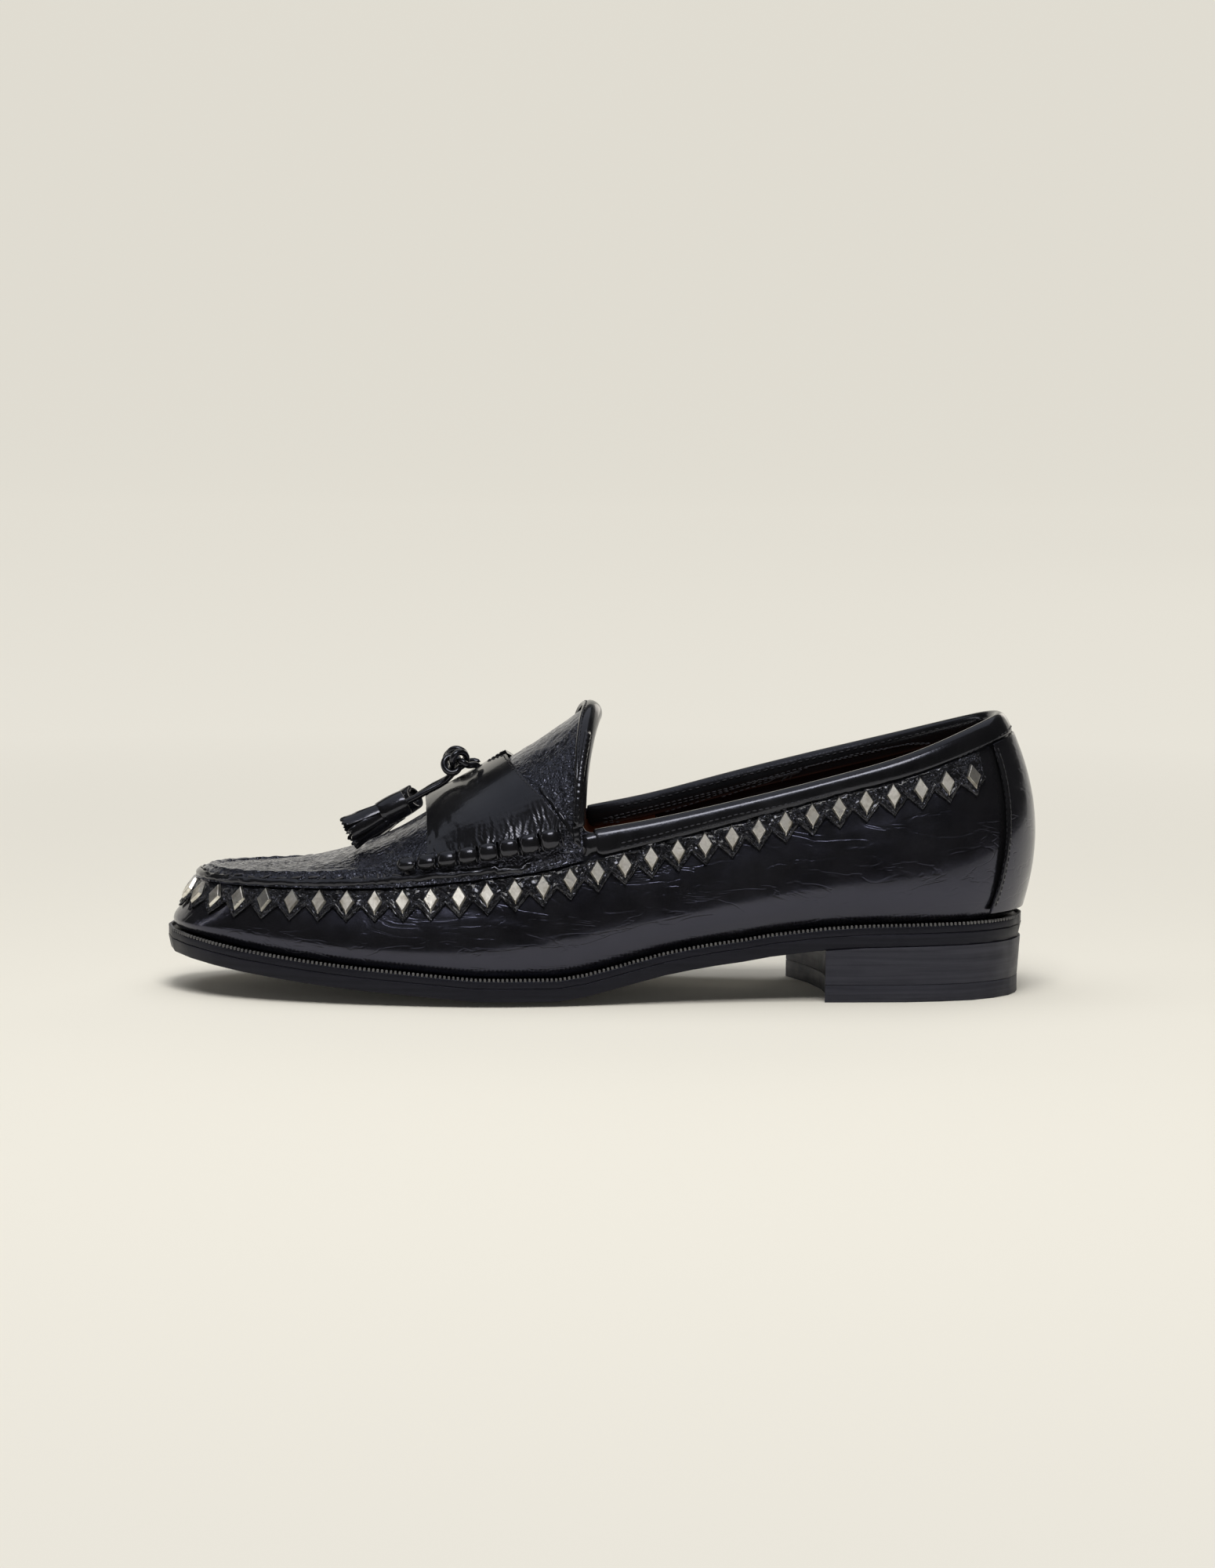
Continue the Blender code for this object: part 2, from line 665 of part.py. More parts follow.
def make_saddle(finish):
    """Saddle strap over the instep: slit at the middle of its front, scalloped behind."""
    front_rim, back_rim = (place_at_x(x, 1.0) for x in (SADDLE_FRONT_RIM_X, SADDLE_BACK_RIM_X))
    front_crest, back_crest = (place_at_x(x, 2.0) for x in (SADDLE_FRONT_CREST_X, SADDLE_BACK_CREST_X))
    slit = place_at_x(SLIT_END_X, 2.0)
    scallop = place_at_x(SADDLE_BACK_CREST_X - SCALLOP_DEPTH, 2.0)
    half = np.ptp(row_lengths(front_crest)[0]) - np.interp(1.0, *row_lengths(front_crest)[::-1])
    slit_share, scallop_share = 1 - SLIT_HALF / half, 1 - SCALLOP_HALF / half
    shares = [*SADDLE_SHARES, scallop_share, slit_share, 1.0]
    sheet = Sheet()

    def point(side, share, run):
        front = front_rim + (front_crest - front_rim) * share
        back = back_rim + (back_crest - back_rim) * math.sin(share * math.pi / 2)
        if share > slit_share:
            front = slit
        if share > scallop_share:
            back = scallop
        place = front + (back - front) * run
        place = place if side < 0 else 2 - place
        start = from_rim(place, SADDLE_IN)
        q = start + (2 - start) * share
        stand = SADDLE_STAND * share**2 * max(0.0, 1 - (place_run(place, front_crest, back_crest))) ** 2
        low = SADDLE_LIFT + stand
        return skin(place, q, low + SADDLE_THICK), skin(place, q, low)

    def place_run(place, front, back):
        place = min(place, 2 - place)
        return (place - front) / (back - front)

    columns = [(-1, share) for share in shares] + [(1, share) for share in shares[-2::-1]]
    for c, (side, share) in enumerate(columns):
        for i in range(SADDLE_STEPS + 1):
            sheet.point((i, c), *point(side, share, i / SADDLE_STEPS))
    for c in range(len(columns) - 1):
        for i in range(SADDLE_STEPS):
            sheet.face((i, c), (i + 1, c), (i + 1, c + 1), (i, c + 1))
    return sheet.build("saddle", finish)


def tube(name, rings, finish):
    """A closed solid through rings of points, with a flat end at each end."""
    count = len(rings[0])
    points = [p for ring in rings for p in ring]
    faces = []
    for i in range(len(rings) - 1):
        for j in range(count):
            k = (j + 1) % count
            faces.append([i * count + j, i * count + k, (i + 1) * count + k, (i + 1) * count + j])
    faces.append(list(range(count))[::-1])
    faces.append([len(points) - count + j for j in range(count)])
    return mesh_object(name, points, faces, finish)


def make_bead_roll(side, finish):
    """Gathered roll beside the saddle: it swells into beads, which grow towards the throat."""
    rings_in_all = BEAD_COUNT * BEAD_RINGS
    start, end = (place_at_x(x, 1.0) for x in (BEAD_START_X, BEAD_END_X))
    rings = []
    for i in range(rings_in_all + 1):
        run = i / rings_in_all
        place = start + (end - start) * run
        place = place if side < 0 else 2 - place
        swell = abs(math.sin(math.pi * BEAD_COUNT * run)) ** BEAD_FULLNESS
        full = BEAD_RADIUS[0] + (BEAD_RADIUS[1] - BEAD_RADIUS[0]) * run
        radius = full * (BEAD_WAIST + (1 - BEAD_WAIST) * swell)
        q = from_rim(place, BEAD_IN)
        out = outward_at(place, q)
        along = last_point(place + PLACE_STEP, q) - last_point(place - PLACE_STEP, q)
        across = np.cross(out, unit(along))
        centre = skin(place, q, APRON_LIFT + APRON_THICK + GAP + BEAD_RADIUS[1])
        turns = [2 * math.pi * j / BEAD_SIDES for j in range(BEAD_SIDES)]
        rings.append([centre + radius * (math.cos(a) * out + math.sin(a) * across) for a in turns])
    name = "bead_roll_lateral" if side < 0 else "bead_roll_medial"
    return tube(name, rings, finish)


def make_collar_binding(finish):
    """Folded edge of the topline, from one side of the throat round the heel to the other."""
    sheet = Sheet()
    places = [THROAT + COLLAR_START] + SIDE_PLACES[THROAT_STATION + 1 :]
    places += [2 - p for p in places[-2::-1]]
    outside, inside = GAP, -UPPER_WALL - GAP
    for i, place in enumerate(places):
        lap = edge(place).lap
        rim, out = last_point(place, 1.0), outward_at(place, 1.0)
        up = unit(rim - last_point(place, from_rim(place, -MM)))

        def at(drop, lift):
            if drop > 0:
                return skin(place, from_rim(place, -drop), lift)
            return rim + lift * out - drop * up

        middle = -UPPER_WALL / 2
        pairs = [
            (at(lap, outside + BINDING_THICK), at(lap, outside)),
            (at(BINDING_SHOULDER, outside + BINDING_SWELL), at(0.0, outside)),
            (at(-BINDING_OVER, middle), at(-BINDING_SEAT, middle)),
            (at(BINDING_SHOULDER, inside - BINDING_SWELL), at(0.0, inside)),
            (at(BINDING_INSIDE, inside - BINDING_THICK), at(BINDING_INSIDE, inside)),
        ]
        for j, pair in enumerate(pairs):
            sheet.point((i, j), *pair)
    for i in range(len(places) - 1):
        for j in range(len(pairs) - 1):
            sheet.face((i, j), (i + 1, j), (i + 1, j + 1), (i, j + 1))
    return sheet.build("collar_binding", finish)


def make_tongue_binding(finish):
    """Folded edge of the tongue, over the apron's face and the upper's inside."""
    sheet = Sheet()
    outside, inside = APRON_LIFT + APRON_THICK + 2 * GAP, -UPPER_WALL - 2 * GAP
    middle = (outside + inside) / 2
    start = from_rim(THROAT, TONGUE_BINDING_FOOT)
    rows = [1 + j / TOP_ROWS for j in range(TOP_ROWS + 1)]
    half = [start] + [q for q in rows if q > start + LEAST_ROW]
    lines = [(-1, q) for q in half] + [(1, q) for q in half[-2::-1]]
    for i, (side, q) in enumerate(lines):
        place = THROAT if side < 0 else 2 - THROAT
        ahead = THROAT - TONGUE_STEP if side < 0 else 2 - THROAT + TONGUE_STEP
        back = last_point(place, q) - last_point(ahead, q)
        span = np.linalg.norm(back)
        back /= span

        def at(forward, lift):
            if forward <= 0:
                return skin(place, q, lift) - forward * back
            return skin(place + (ahead - place) * forward / span, q, lift)

        pairs = [
            (at(TONGUE_BINDING, outside + BINDING_THICK), at(TONGUE_BINDING, outside)),
            (at(0.0, outside + BINDING_THICK), at(-GAP / 2, outside)),
            (at(-TONGUE_BINDING_OVER, middle), at(-BINDING_SEAT, middle)),
            (at(0.0, inside - BINDING_THICK), at(-GAP / 2, inside)),
            (at(TONGUE_BINDING, inside - BINDING_THICK), at(TONGUE_BINDING, inside)),
        ]
        for j, pair in enumerate(pairs):
            sheet.point((i, j), *pair)
    for i in range(len(lines) - 1):
        for j in range(len(pairs) - 1):
            sheet.face((i, j), (i, j + 1), (i + 1, j + 1), (i + 1, j))
    return sheet.build("tongue_binding", finish)


def make_heel_counter(finish):
    """Counter: a panel round the back of the heel, under the topline's binding."""
    sheet = Sheet()
    for row in range(COUNTER_ROWS + 1):
        height = row / COUNTER_ROWS
        front = COUNTER_FRONT_LOW + (COUNTER_FRONT_HIGH - COUNTER_FRONT_LOW) * math.sin(height * math.pi / 2)
        half = [front, max(COUNTER_PLACES[1], front + COUNTER_STRIP)] + COUNTER_PLACES[2:]
        places = half + [2 - p for p in half[-2::-1]]
        for c, place in enumerate(places):
            top = from_rim(place, -edge(place).lap - GAP)
            q = COUNTER_FOOT + (top - COUNTER_FOOT) * height
            outer = skin(place, q, COUNTER_LIFT + COUNTER_THICK)
            sheet.point((c, row), outer, skin(place, q, COUNTER_LIFT))
    for c in range(len(places) - 1):
        for row in range(COUNTER_ROWS):
            sheet.face((c, row), (c + 1, row), (c + 1, row + 1), (c, row + 1))
    return sheet.build("heel_counter", finish)


def make_stud_band(finish, metal):
    """Zigzag band round the shoe: each tooth carries a diamond stud with a flat top."""
    points, index, faces = [], {}, []

    def add(key, place, drop, lift):
        if key not in index:
            index[key] = len(points)
            points.append(skin(place, from_rim(place, -drop), lift))

    def face(*keys):
        faces.append([index[k] for k in keys])

    low, high = GAP, GAP + BAND_THICK
    stations = [i % STATIONS for i in range(-COUNTER_STATION, COUNTER_STATION + 1)]
    for n, i in enumerate(stations):
        place = station_place(i)
        here = edge(place)
        for layer, lift in (("in", low), ("out", high)):
            add((layer, "top", n), place, here.lap + GAP, lift)
            add((layer, "valley", n), place, here.stud + BAND_VALLEY, lift)
    stud_faces = []
    for n, (i, k) in enumerate(zip(stations, stations[1:])):
        start, end = station_place(i), station_place(k)
        end += 2.0 if end < start else 0.0
        middle = (start + end) / 2
        here = edge(middle)
        pitch = np.linalg.norm(points[index[("out", "valley", n + 1)]] - points[index[("out", "valley", n)]])
        side = (end - start) * STUD_HALF_WIDE / pitch
        for layer, lift in (("in", low), ("out", high)):
            add((layer, "tip", n), middle, here.stud + BAND_TIP, lift)
        add(("in", "mid", n), middle, here.stud + BAND_VALLEY, low)
        corners = [(0.0, STUD_HALF_TALL), (side, 0.0), (0.0, -STUD_HALF_TALL), (-side, 0.0)]
        for c, (along, drop) in enumerate(corners):
            add(("foot", c, n), middle + along, here.stud + drop, high)
            add(("flat", c, n), middle + along * STUD_FLAT, here.stud + drop * STUD_FLAT, high + STUD_HIGH)
        a, b = n, n + 1
        face(("out", "valley", a), ("out", "tip", n), ("foot", 0, n))
        face(("out", "valley", a), ("foot", 0, n), ("foot", 3, n))
        face(("out", "top", a), ("out", "valley", a), ("foot", 3, n))
        face(("out", "top", a), ("foot", 3, n), ("foot", 2, n))
        face(("out", "top", a), ("foot", 2, n), ("out", "top", b))
        face(("out", "tip", n), ("out", "valley", b), ("foot", 0, n))
        face(("out", "valley", b), ("foot", 1, n), ("foot", 0, n))
        face(("out", "valley", b), ("out", "top", b), ("foot", 1, n))
        face(("out", "top", b), ("foot", 2, n), ("foot", 1, n))
        for c in range(4):
            d = (c + 1) % 4
            stud_faces.append(len(faces))
            face(("foot", c, n), ("foot", d, n), ("flat", d, n), ("flat", c, n))
        stud_faces.append(len(faces))
        face(*[("flat", c, n) for c in range(4)])
        face(("in", "top", a), ("in", "top", b), ("in", "mid", n))
        face(("in", "top", a), ("in", "mid", n), ("in", "valley", a))
        face(("in", "top", b), ("in", "valley", b), ("in", "mid", n))
        face(("in", "valley", a), ("in", "mid", n), ("in", "tip", n))
        face(("in", "mid", n), ("in", "valley", b), ("in", "tip", n))
        face(("out", "top", a), ("out", "top", b), ("in", "top", b), ("in", "top", a))
        teeth = [("valley", a), ("tip", n), ("valley", b)]
        for p, q in zip(teeth, teeth[1:]):
            face(("in", *p), ("in", *q), ("out", *q), ("out", *p))
    last = len(stations) - 1
    face(("in", "top", 0), ("in", "valley", 0), ("out", "valley", 0), ("out", "top", 0))
    face(("out", "top", last), ("out", "valley", last), ("in", "valley", last), ("in", "top", last))
    band = mesh_object("stud_band", points, faces, finish)
    band.data.materials.append(metal)
    for polygon in stud_faces:
        band.data.polygons[polygon].material_index = 1
    return band


def smooth_route(points, spacing):
    """Evenly spaced points of a smooth curve through the route's own points."""
    points = np.array(points)
    runs = np.linalg.norm(np.diff(points, axis=0), axis=1)
    curve = Curve(np.concatenate([[0.0], np.cumsum(np.sqrt(runs))]), points)
    fine = np.array([curve.at(t) for t in np.linspace(0, curve.knots[-1], 600)])
    length = np.concatenate([[0.0], np.cumsum(np.linalg.norm(np.diff(fine, axis=0), axis=1))])
    count = max(2, round(length[-1] / spacing))
    return [[np.interp(t, length, axis) for axis in fine.T] for t in np.linspace(0, length[-1], count + 1)]


def crest_point(row, x, q, lift):
    """Point above the vamp, from the x of the crest there, the q across and the height."""
    place = place_at_x(x * MM, 2.0)
    return skin(place if row.side == "lateral" else 2 - place, q, lift * MM)


def cord_route(row):
    """Route of a lace: out of the saddle, through an overhand knot and down to the tassel's cap."""
    place = place_at_x(row.hole_x * MM, 2.0)
    place = place if row.side == "lateral" else 2 - place
    up = outward_at(place, row.hole_q)
    surface = skin(place, row.hole_q, SADDLE_LIFT + SADDLE_THICK)
    knot = crest_point(row, row.knot_x, row.knot_q, row.knot_lift)
    cap = crest_point(row, row.cap_x, row.cap_q, row.cap_lift)
    tip = crest_point(row, row.tip_x, row.tip_q, row.tip_lift)
    axis = unit(tip - cap)
    down = -outward_at(place, row.knot_q)
    back = unit(surface - cap - np.dot(surface - cap, down) * down)
    aside = np.cross(down, back)
    loop = []
    for t in np.linspace(KNOT_CUT, 2 * math.pi - KNOT_CUT, KNOT_POINTS):
        ring = 2 + math.cos(3 * t)
        local = (ring * math.cos(2 * t), ring * math.sin(2 * t), math.sin(3 * t))
        loop.append(knot + KNOT_UNIT * (local[0] * down + local[1] * back + local[2] * aside))
    start = surface + (CORD_DIAMETER / 4 + GAP) * up
    end = cap - GAP * axis
    return [start, start + CORD_RISE * up] + loop + [end - CORD_STRAIGHT * axis, end], cap, axis


def make_tassel(row, finish):
    """One tassel: knotted cord, wrapped cap and the fringe that hangs from it."""
    route, cap, axis = cord_route(row)
    points = smooth_route(route, CORD_STEP)
    curve = bpy.data.curves.new(f"tassel_cord_{row.side}", "CURVE")
    curve.dimensions = "3D"
    curve.bevel_depth = CORD_DIAMETER / 2
    curve.bevel_resolution = 2
    curve.use_fill_caps = True
    spline = curve.splines.new("POLY")
    spline.points.add(len(points) - 1)
    for slot, point in zip(spline.points, points):
        slot.co = (*point, 1.0)
    curve.materials.append(finish)
    cord = bpy.data.objects.new(f"tassel_cord_{row.side}", curve)
    bpy.context.scene.collection.objects.link(cord)

    across = unit(np.cross(axis, (0.0, 0.0, 1.0)))
    over = np.cross(axis, across)

    def ring(centre, radius, sides):
        turns = [2 * math.pi * j / sides for j in range(sides)]
        return [centre + radius * (math.cos(a) * across + math.sin(a) * over) for a in turns]

    profile = [
        (0.0, CAP_RADIUS - CAP_ROUND),
        (CAP_ROUND, CAP_RADIUS),
        (CAP_LENGTH - CAP_ROUND, CAP_RADIUS),
        (CAP_LENGTH, CAP_RADIUS - CAP_ROUND),
    ]
    tube(f"tassel_cap_{row.side}", [ring(cap + run * axis, r, CAP_SIDES) for run, r in profile], finish)

    root = cap + (CAP_LENGTH + GAP) * axis
    strip = 2 * math.pi / FRINGE_STRIPS
    corners = [
        (FRINGE_SLOT, True),
        (1 - FRINGE_SLOT, True),
        (1 - FRINGE_SLOT_FLOOR, False),
        (1 + FRINGE_SLOT_FLOOR, False),
    ]
    rings = []
    for run in FRINGE_RUNS:
        radius = FRINGE_RADIUS[0] + (FRINGE_RADIUS[1] - FRINGE_RADIUS[0]) * run
        core = radius * (FRINGE_CORE if run else FRINGE_ROOT_CORE)
        line = []
        for j in range(FRINGE_STRIPS):
            uneven = FRINGE_UNEVEN * math.sin(FRINGE_PHASE * j) * run
            centre = root + (FRINGE_LENGTH * run + uneven) * axis
            for share, outside in corners:
                a, r = (j + share) * strip, radius if outside else core
                line.append(centre + r * (math.cos(a) * across + math.sin(a) * over))
        rings.append(line)
    tube(f"tassel_fringe_{row.side}", rings, finish)


def main():
    for obj in list(bpy.data.objects):
        bpy.data.objects.remove(obj)
    black_leather = material("black_leather", (0.012, 0.012, 0.014), 0.28)
    sole_leather = material("sole_leather", (0.030, 0.030, 0.036), 0.45)
    lift_rubber = material("lift_rubber", (0.022, 0.022, 0.026), 0.6)
    insole_leather = material("insole_leather", (0.16, 0.055, 0.022), 0.5)
    stud_metal = material("stud_metal", (0.62, 0.60, 0.56), 0.25, metallic=1.0)
    make_outsole(sole_leather)
    make_welt(sole_leather)
    make_heel(sole_leather, lift_rubber)
    make_insole(insole_leather)
    make_upper(black_leather)
    make_apron(black_leather)
    make_saddle(black_leather)
    for side in (-1, 1):
        make_bead_roll(side, black_leather)
    make_collar_binding(black_leather)
    make_tongue_binding(black_leather)
    make_heel_counter(black_leather)
    make_stud_band(black_leather, stud_metal)
    for row in TASSELS:
        make_tassel(row, black_leather)


main()
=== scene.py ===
import math
import random

import bpy
from mathutils import Matrix, Vector, noise
from mathutils.bvhtree import BVHTree


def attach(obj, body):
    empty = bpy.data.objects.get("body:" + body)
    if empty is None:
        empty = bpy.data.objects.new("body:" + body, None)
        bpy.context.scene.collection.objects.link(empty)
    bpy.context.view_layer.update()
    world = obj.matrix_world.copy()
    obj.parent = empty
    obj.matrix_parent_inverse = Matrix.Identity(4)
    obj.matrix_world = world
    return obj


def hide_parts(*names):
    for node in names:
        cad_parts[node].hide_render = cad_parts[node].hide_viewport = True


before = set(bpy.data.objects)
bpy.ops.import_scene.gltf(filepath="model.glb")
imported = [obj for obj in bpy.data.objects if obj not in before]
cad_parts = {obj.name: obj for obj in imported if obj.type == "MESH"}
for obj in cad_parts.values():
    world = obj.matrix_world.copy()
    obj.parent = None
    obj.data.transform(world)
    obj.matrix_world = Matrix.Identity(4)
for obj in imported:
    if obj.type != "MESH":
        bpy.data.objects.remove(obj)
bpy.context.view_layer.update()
mm = 0.001
chance = random.Random(38)
# noise_vector starts from the clock unless it is given a seed
noise.seed_set(38)
# which way Y runs on each side of the shoe
ways = {"lateral": -1, "medial": 1}


# Small helpers for selecting, copying and finishing pieces

def deselectAll():
    if bpy.context.object and bpy.context.object.mode != "OBJECT":
        bpy.ops.object.mode_set(mode="OBJECT")
    bpy.ops.object.select_all(action="DESELECT")


def makeActive(piece):
    deselectAll()
    piece.select_set(True)
    bpy.context.view_layer.objects.active = piece


def editAll(piece):
    makeActive(piece)
    bpy.ops.object.mode_set(mode="EDIT")
    bpy.ops.mesh.select_all(action="SELECT")


def objectMode():
    bpy.ops.object.mode_set(mode="OBJECT")


def selectFaces(piece, isChosen):
    editAll(piece)
    bpy.ops.mesh.select_mode(type="FACE")
    bpy.ops.mesh.select_all(action="DESELECT")
    objectMode()
    for polygon in piece.data.polygons:
        polygon.select = isChosen(polygon)
    bpy.ops.object.mode_set(mode="EDIT")


def applyModifier(piece, kind, **settings):
    makeActive(piece)
    modifier = piece.modifiers.new(kind.title(), kind)
    for key, value in settings.items():
        setattr(modifier, key, value)
    bpy.ops.object.modifier_apply(modifier=modifier.name)


def subdivide(piece, levels):
    applyModifier(piece, "SUBSURF", levels=levels, render_levels=levels)


def softEdges(piece, width, segments=2, angle=35.0):
    applyModifier(
        piece, "BEVEL", width=width, segments=segments, limit_method="ANGLE",
        angle_limit=math.radians(angle),
    )


def startShape(adder, **settings):
    deselectAll()
    adder(**settings)
    return bpy.context.object


def faceOut(piece):
    editAll(piece)
    bpy.ops.mesh.normals_make_consistent(inside=False)
    objectMode()


def smoothBelow(piece, angle=40):
    makeActive(piece)
    bpy.ops.object.shade_smooth_by_angle(angle=math.radians(angle))


def joinPieces(name, pieces):
    deselectAll()
    for piece in pieces:
        piece.select_set(True)
    bpy.context.view_layer.objects.active = pieces[0]
    bpy.ops.object.join()
    pieces[0].name = name
    return pieces[0]


def copyNode(nodeName, pieceName, quadAngle=50.0):
    # the frame's triangles are loose, so the copy is merged back into clean quads
    node = bpy.data.objects[nodeName]
    piece = bpy.data.objects.new(pieceName, node.data.copy())
    bpy.context.scene.collection.objects.link(piece)
    piece.data.materials.clear()
    makeActive(piece)
    bpy.ops.mesh.customdata_custom_splitnormals_clear()
    editAll(piece)
    bpy.ops.mesh.remove_doubles(threshold=0.02 * mm)
    bpy.ops.mesh.tris_convert_to_quads(
        face_threshold=math.radians(quadAngle), shape_threshold=math.radians(70)
    )
    objectMode()
    bpy.ops.object.shade_smooth()
    return piece


def finishPiece(piece, node, slotName, *materials):
    for material in materials:
        piece.data.materials.append(material)
    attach(piece, "root")
    if node:
        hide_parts(node)
    return piece


def trim(piece, finish):
    # a small piece that stands for no solid of its own
    return finishPiece(piece, None, "upper_leather", finish)


def withNormals(piece):
    # normals are read before any vertex moves, because each move works them all out again
    normals = [vertex.normal.copy() for vertex in piece.data.vertices]
    return zip(piece.data.vertices, normals)


def surfaceOf(*pieces):
    points, faces = [], []
    for piece in pieces:
        first = len(points)
        points += [vertex.co.copy() for vertex in piece.data.vertices]
        faces += [[first + index for index in polygon.vertices] for polygon in piece.data.polygons]
    return BVHTree.FromPolygons(points, faces)


def seat(centre, along, normal):
    up = normal.normalized()
    across = up.cross(along).normalized()
    forward = across.cross(up)
    return Matrix.Translation(centre) @ Matrix((forward, across, up)).transposed().to_4x4()


def walk(points, pitch, first=0.5):
    # evenly spaced places on a line, each with the line's direction there
    places = []
    due = first * pitch
    for a, b in zip(points, points[1:]):
        span = (b - a).length
        while span > 0 and due <= span:
            places.append((a.lerp(b, due / span), (b - a).normalized()))
            due += pitch
        due -= span
    return places


def evenLine(line, pitch):
    return [point for point, along in walk(line, pitch)]


def scatter(name, shape, places):
    copies = []
    for place in places:
        mesh = shape.data.copy()
        mesh.transform(place)
        copies.append(bpy.data.objects.new(name, mesh))
        bpy.context.scene.collection.objects.link(copies[-1])
    joined = joinPieces(name, copies)
    bpy.data.objects.remove(shape)
    return joined


def bearing(degrees):
    return Vector((math.cos(math.radians(degrees)), math.sin(math.radians(degrees)), 0.0))


def fromMiddle(point, half):
    # the level way out to a spot from the shoe's middle line, which ends at half
    return Vector((point.x - max(-half, min(half, point.x)), point.y, 0.0))


# Camera at the photo's angle

camera = {
    "azimuth": -2.0,
    "elevation": 7.0,
    "roll": 0.5,
    "distance": 2.0,
    "aim": Vector((0.0, 0.0, 43 * mm)),
    "photoSize": (1550, 2000),
    "aimPixel": (767.6, 1081.9),
    "pixelsPerMetre": 4166.0,
    "sensor": 36.0,
}


def makeCamera():
    turn = math.radians(camera["azimuth"])
    lift = math.radians(camera["elevation"])
    roll = math.radians(camera["roll"])
    back = Vector((math.sin(turn) * math.cos(lift), -math.cos(turn) * math.cos(lift), math.sin(lift)))
    flat = Vector((math.cos(turn), math.sin(turn), 0.0))
    level = back.cross(flat)
    right = flat * math.cos(roll) + level * math.sin(roll)
    up = level * math.cos(roll) - flat * math.sin(roll)
    width, height = camera["photoSize"]
    eye = startShape(bpy.ops.object.camera_add)
    place = Matrix.Translation(camera["aim"] + back * camera["distance"])
    eye.matrix_world = place @ Matrix((right, up, back)).transposed().to_4x4()
    eye.data.sensor_width = camera["sensor"]
    eye.data.lens = camera["sensor"] * camera["pixelsPerMetre"] * camera["distance"] / height
    eye.data.shift_x = (width / 2 - camera["aimPixel"][0]) / height
    eye.data.shift_y = (camera["aimPixel"][1] - height / 2) / height
    bpy.context.scene.camera = eye


makeCamera()
print("camera set")


# Tassel cords, on the route that the part's source gives them

cordLook = {"diameter": 2.0 * mm, "rise": 0.5 * mm, "straight": 5.0 * mm, "knotUnit": 1.33 * mm,
            "knotCut": 0.5, "knotPoints": 25, "smoothSteps": 6}

tassels = {
    "lateral": {
        "start": Vector((-38.0, -5.6, 68.4)) * mm,
        "up": Vector((-0.54, -0.08, 0.84)),
        "knot": Vector((-44.58, -7.00, 69.41)) * mm,
        "down": Vector((0.539, 0.103, -0.836)),
        "back": Vector((0.835, 0.064, 0.547)),
        "cap": Vector((-59.84, -7.44, 57.75)) * mm,
        "axis": Vector((-0.881, -0.080, -0.466)),
    },
    "medial": {
        "start": Vector((-38.0, 5.5, 68.4)) * mm,
        "up": Vector((-0.54, 0.08, 0.84)),
        "knot": Vector((-44.67, 9.58, 68.98)) * mm,
        "down": Vector((0.531, -0.156, -0.833)),
        "back": Vector((0.614, -0.607, 0.505)),
        "cap": Vector((-56.89, 23.40, 55.90)) * mm,
        "axis": Vector((-0.736, 0.431, -0.522)),
    },
}


def cordRoute(tassel):
    aside = tassel["down"].cross(tassel["back"])
    route = [tassel["start"], tassel["start"] + cordLook["rise"] * tassel["up"]]
    for step in range(cordLook["knotPoints"]):
        share = step / (cordLook["knotPoints"] - 1)
        turn = cordLook["knotCut"] + share * 2 * (math.pi - cordLook["knotCut"])
        ring = 2 + math.cos(3 * turn)
        bend = tassel["down"] * ring * math.cos(2 * turn) + tassel["back"] * ring * math.sin(2 * turn)
        route.append(tassel["knot"] + cordLook["knotUnit"] * (bend + aside * math.sin(3 * turn)))
    end = tassel["cap"] - 0.3 * mm * tassel["axis"]
    return route + [end - cordLook["straight"] * tassel["axis"], end]


def heading(before, point, after):
    return ((point - before).normalized() + (after - point).normalized()).normalized()


def smoothLine(points, steps):
    # each stretch leaves and arrives at its own length, so short ones beside long ones don't loop
    line = []
    for k in range(len(points) - 1):
        before, a, b, after = (points[max(0, min(len(points) - 1, k + j))] for j in (-1, 0, 1, 2))
        leave = heading(before, a, b) * (b - a).length
        arrive = heading(a, b, after) * (b - a).length
        for step in range(steps):
            t = step / steps
            line.append(
                a * (1 - 3 * t ** 2 + 2 * t ** 3) + leave * (t - 2 * t ** 2 + t ** 3)
                + b * (3 * t ** 2 - 2 * t ** 3) + arrive * (t ** 3 - t ** 2)
            )
    return line + [points[-1]]


def makeCord(side):
    line = smoothLine(cordRoute(tassels[side]), cordLook["smoothSteps"])
    curve = bpy.data.curves.new(f"cordLine_{side}", "CURVE")
    curve.dimensions = "3D"
    curve.bevel_depth = cordLook["diameter"] / 2
    curve.bevel_resolution = 4
    curve.use_fill_caps = True
    spline = curve.splines.new("POLY")
    spline.points.add(len(line) - 1)
    for point, place in zip(spline.points, line):
        point.co = (*place, 1.0)
    cord = bpy.data.objects.new(f"tasselLace_{side}", curve)
    bpy.context.scene.collection.objects.link(cord)
    length = sum((b - a).length for a, b in zip(line, line[1:]))
    return cord, length


cords = {side: makeCord(side) for side in tassels}
print("cords", {side: round(length, 4) for side, (cord, length) in cords.items()})


# Materials

coolGloss = (0.76, 0.79, 1.0)


def setInputs(node, settings):
    for name, value in settings.items():
        node.inputs[name].default_value = value


def addNode(tree, kind, **settings):
    node = tree.nodes.new(kind)
    for key, value in settings.items():
        if key in node.inputs:
            node.inputs[key].default_value = value
        else:
            setattr(node, key, value)
    return node


def newMaterial(name):
    material = bpy.data.materials.new(name)
    material.use_nodes = True
    tree = material.node_tree
    place = addNode(tree, "ShaderNodeTexCoord").outputs["Object"]
    return material, tree, tree.nodes["Principled BSDF"], place


def texture(tree, kind, place, **settings):
    node = addNode(tree, kind, **settings)
    tree.links.new(place, node.inputs["Vector"])
    return node.outputs


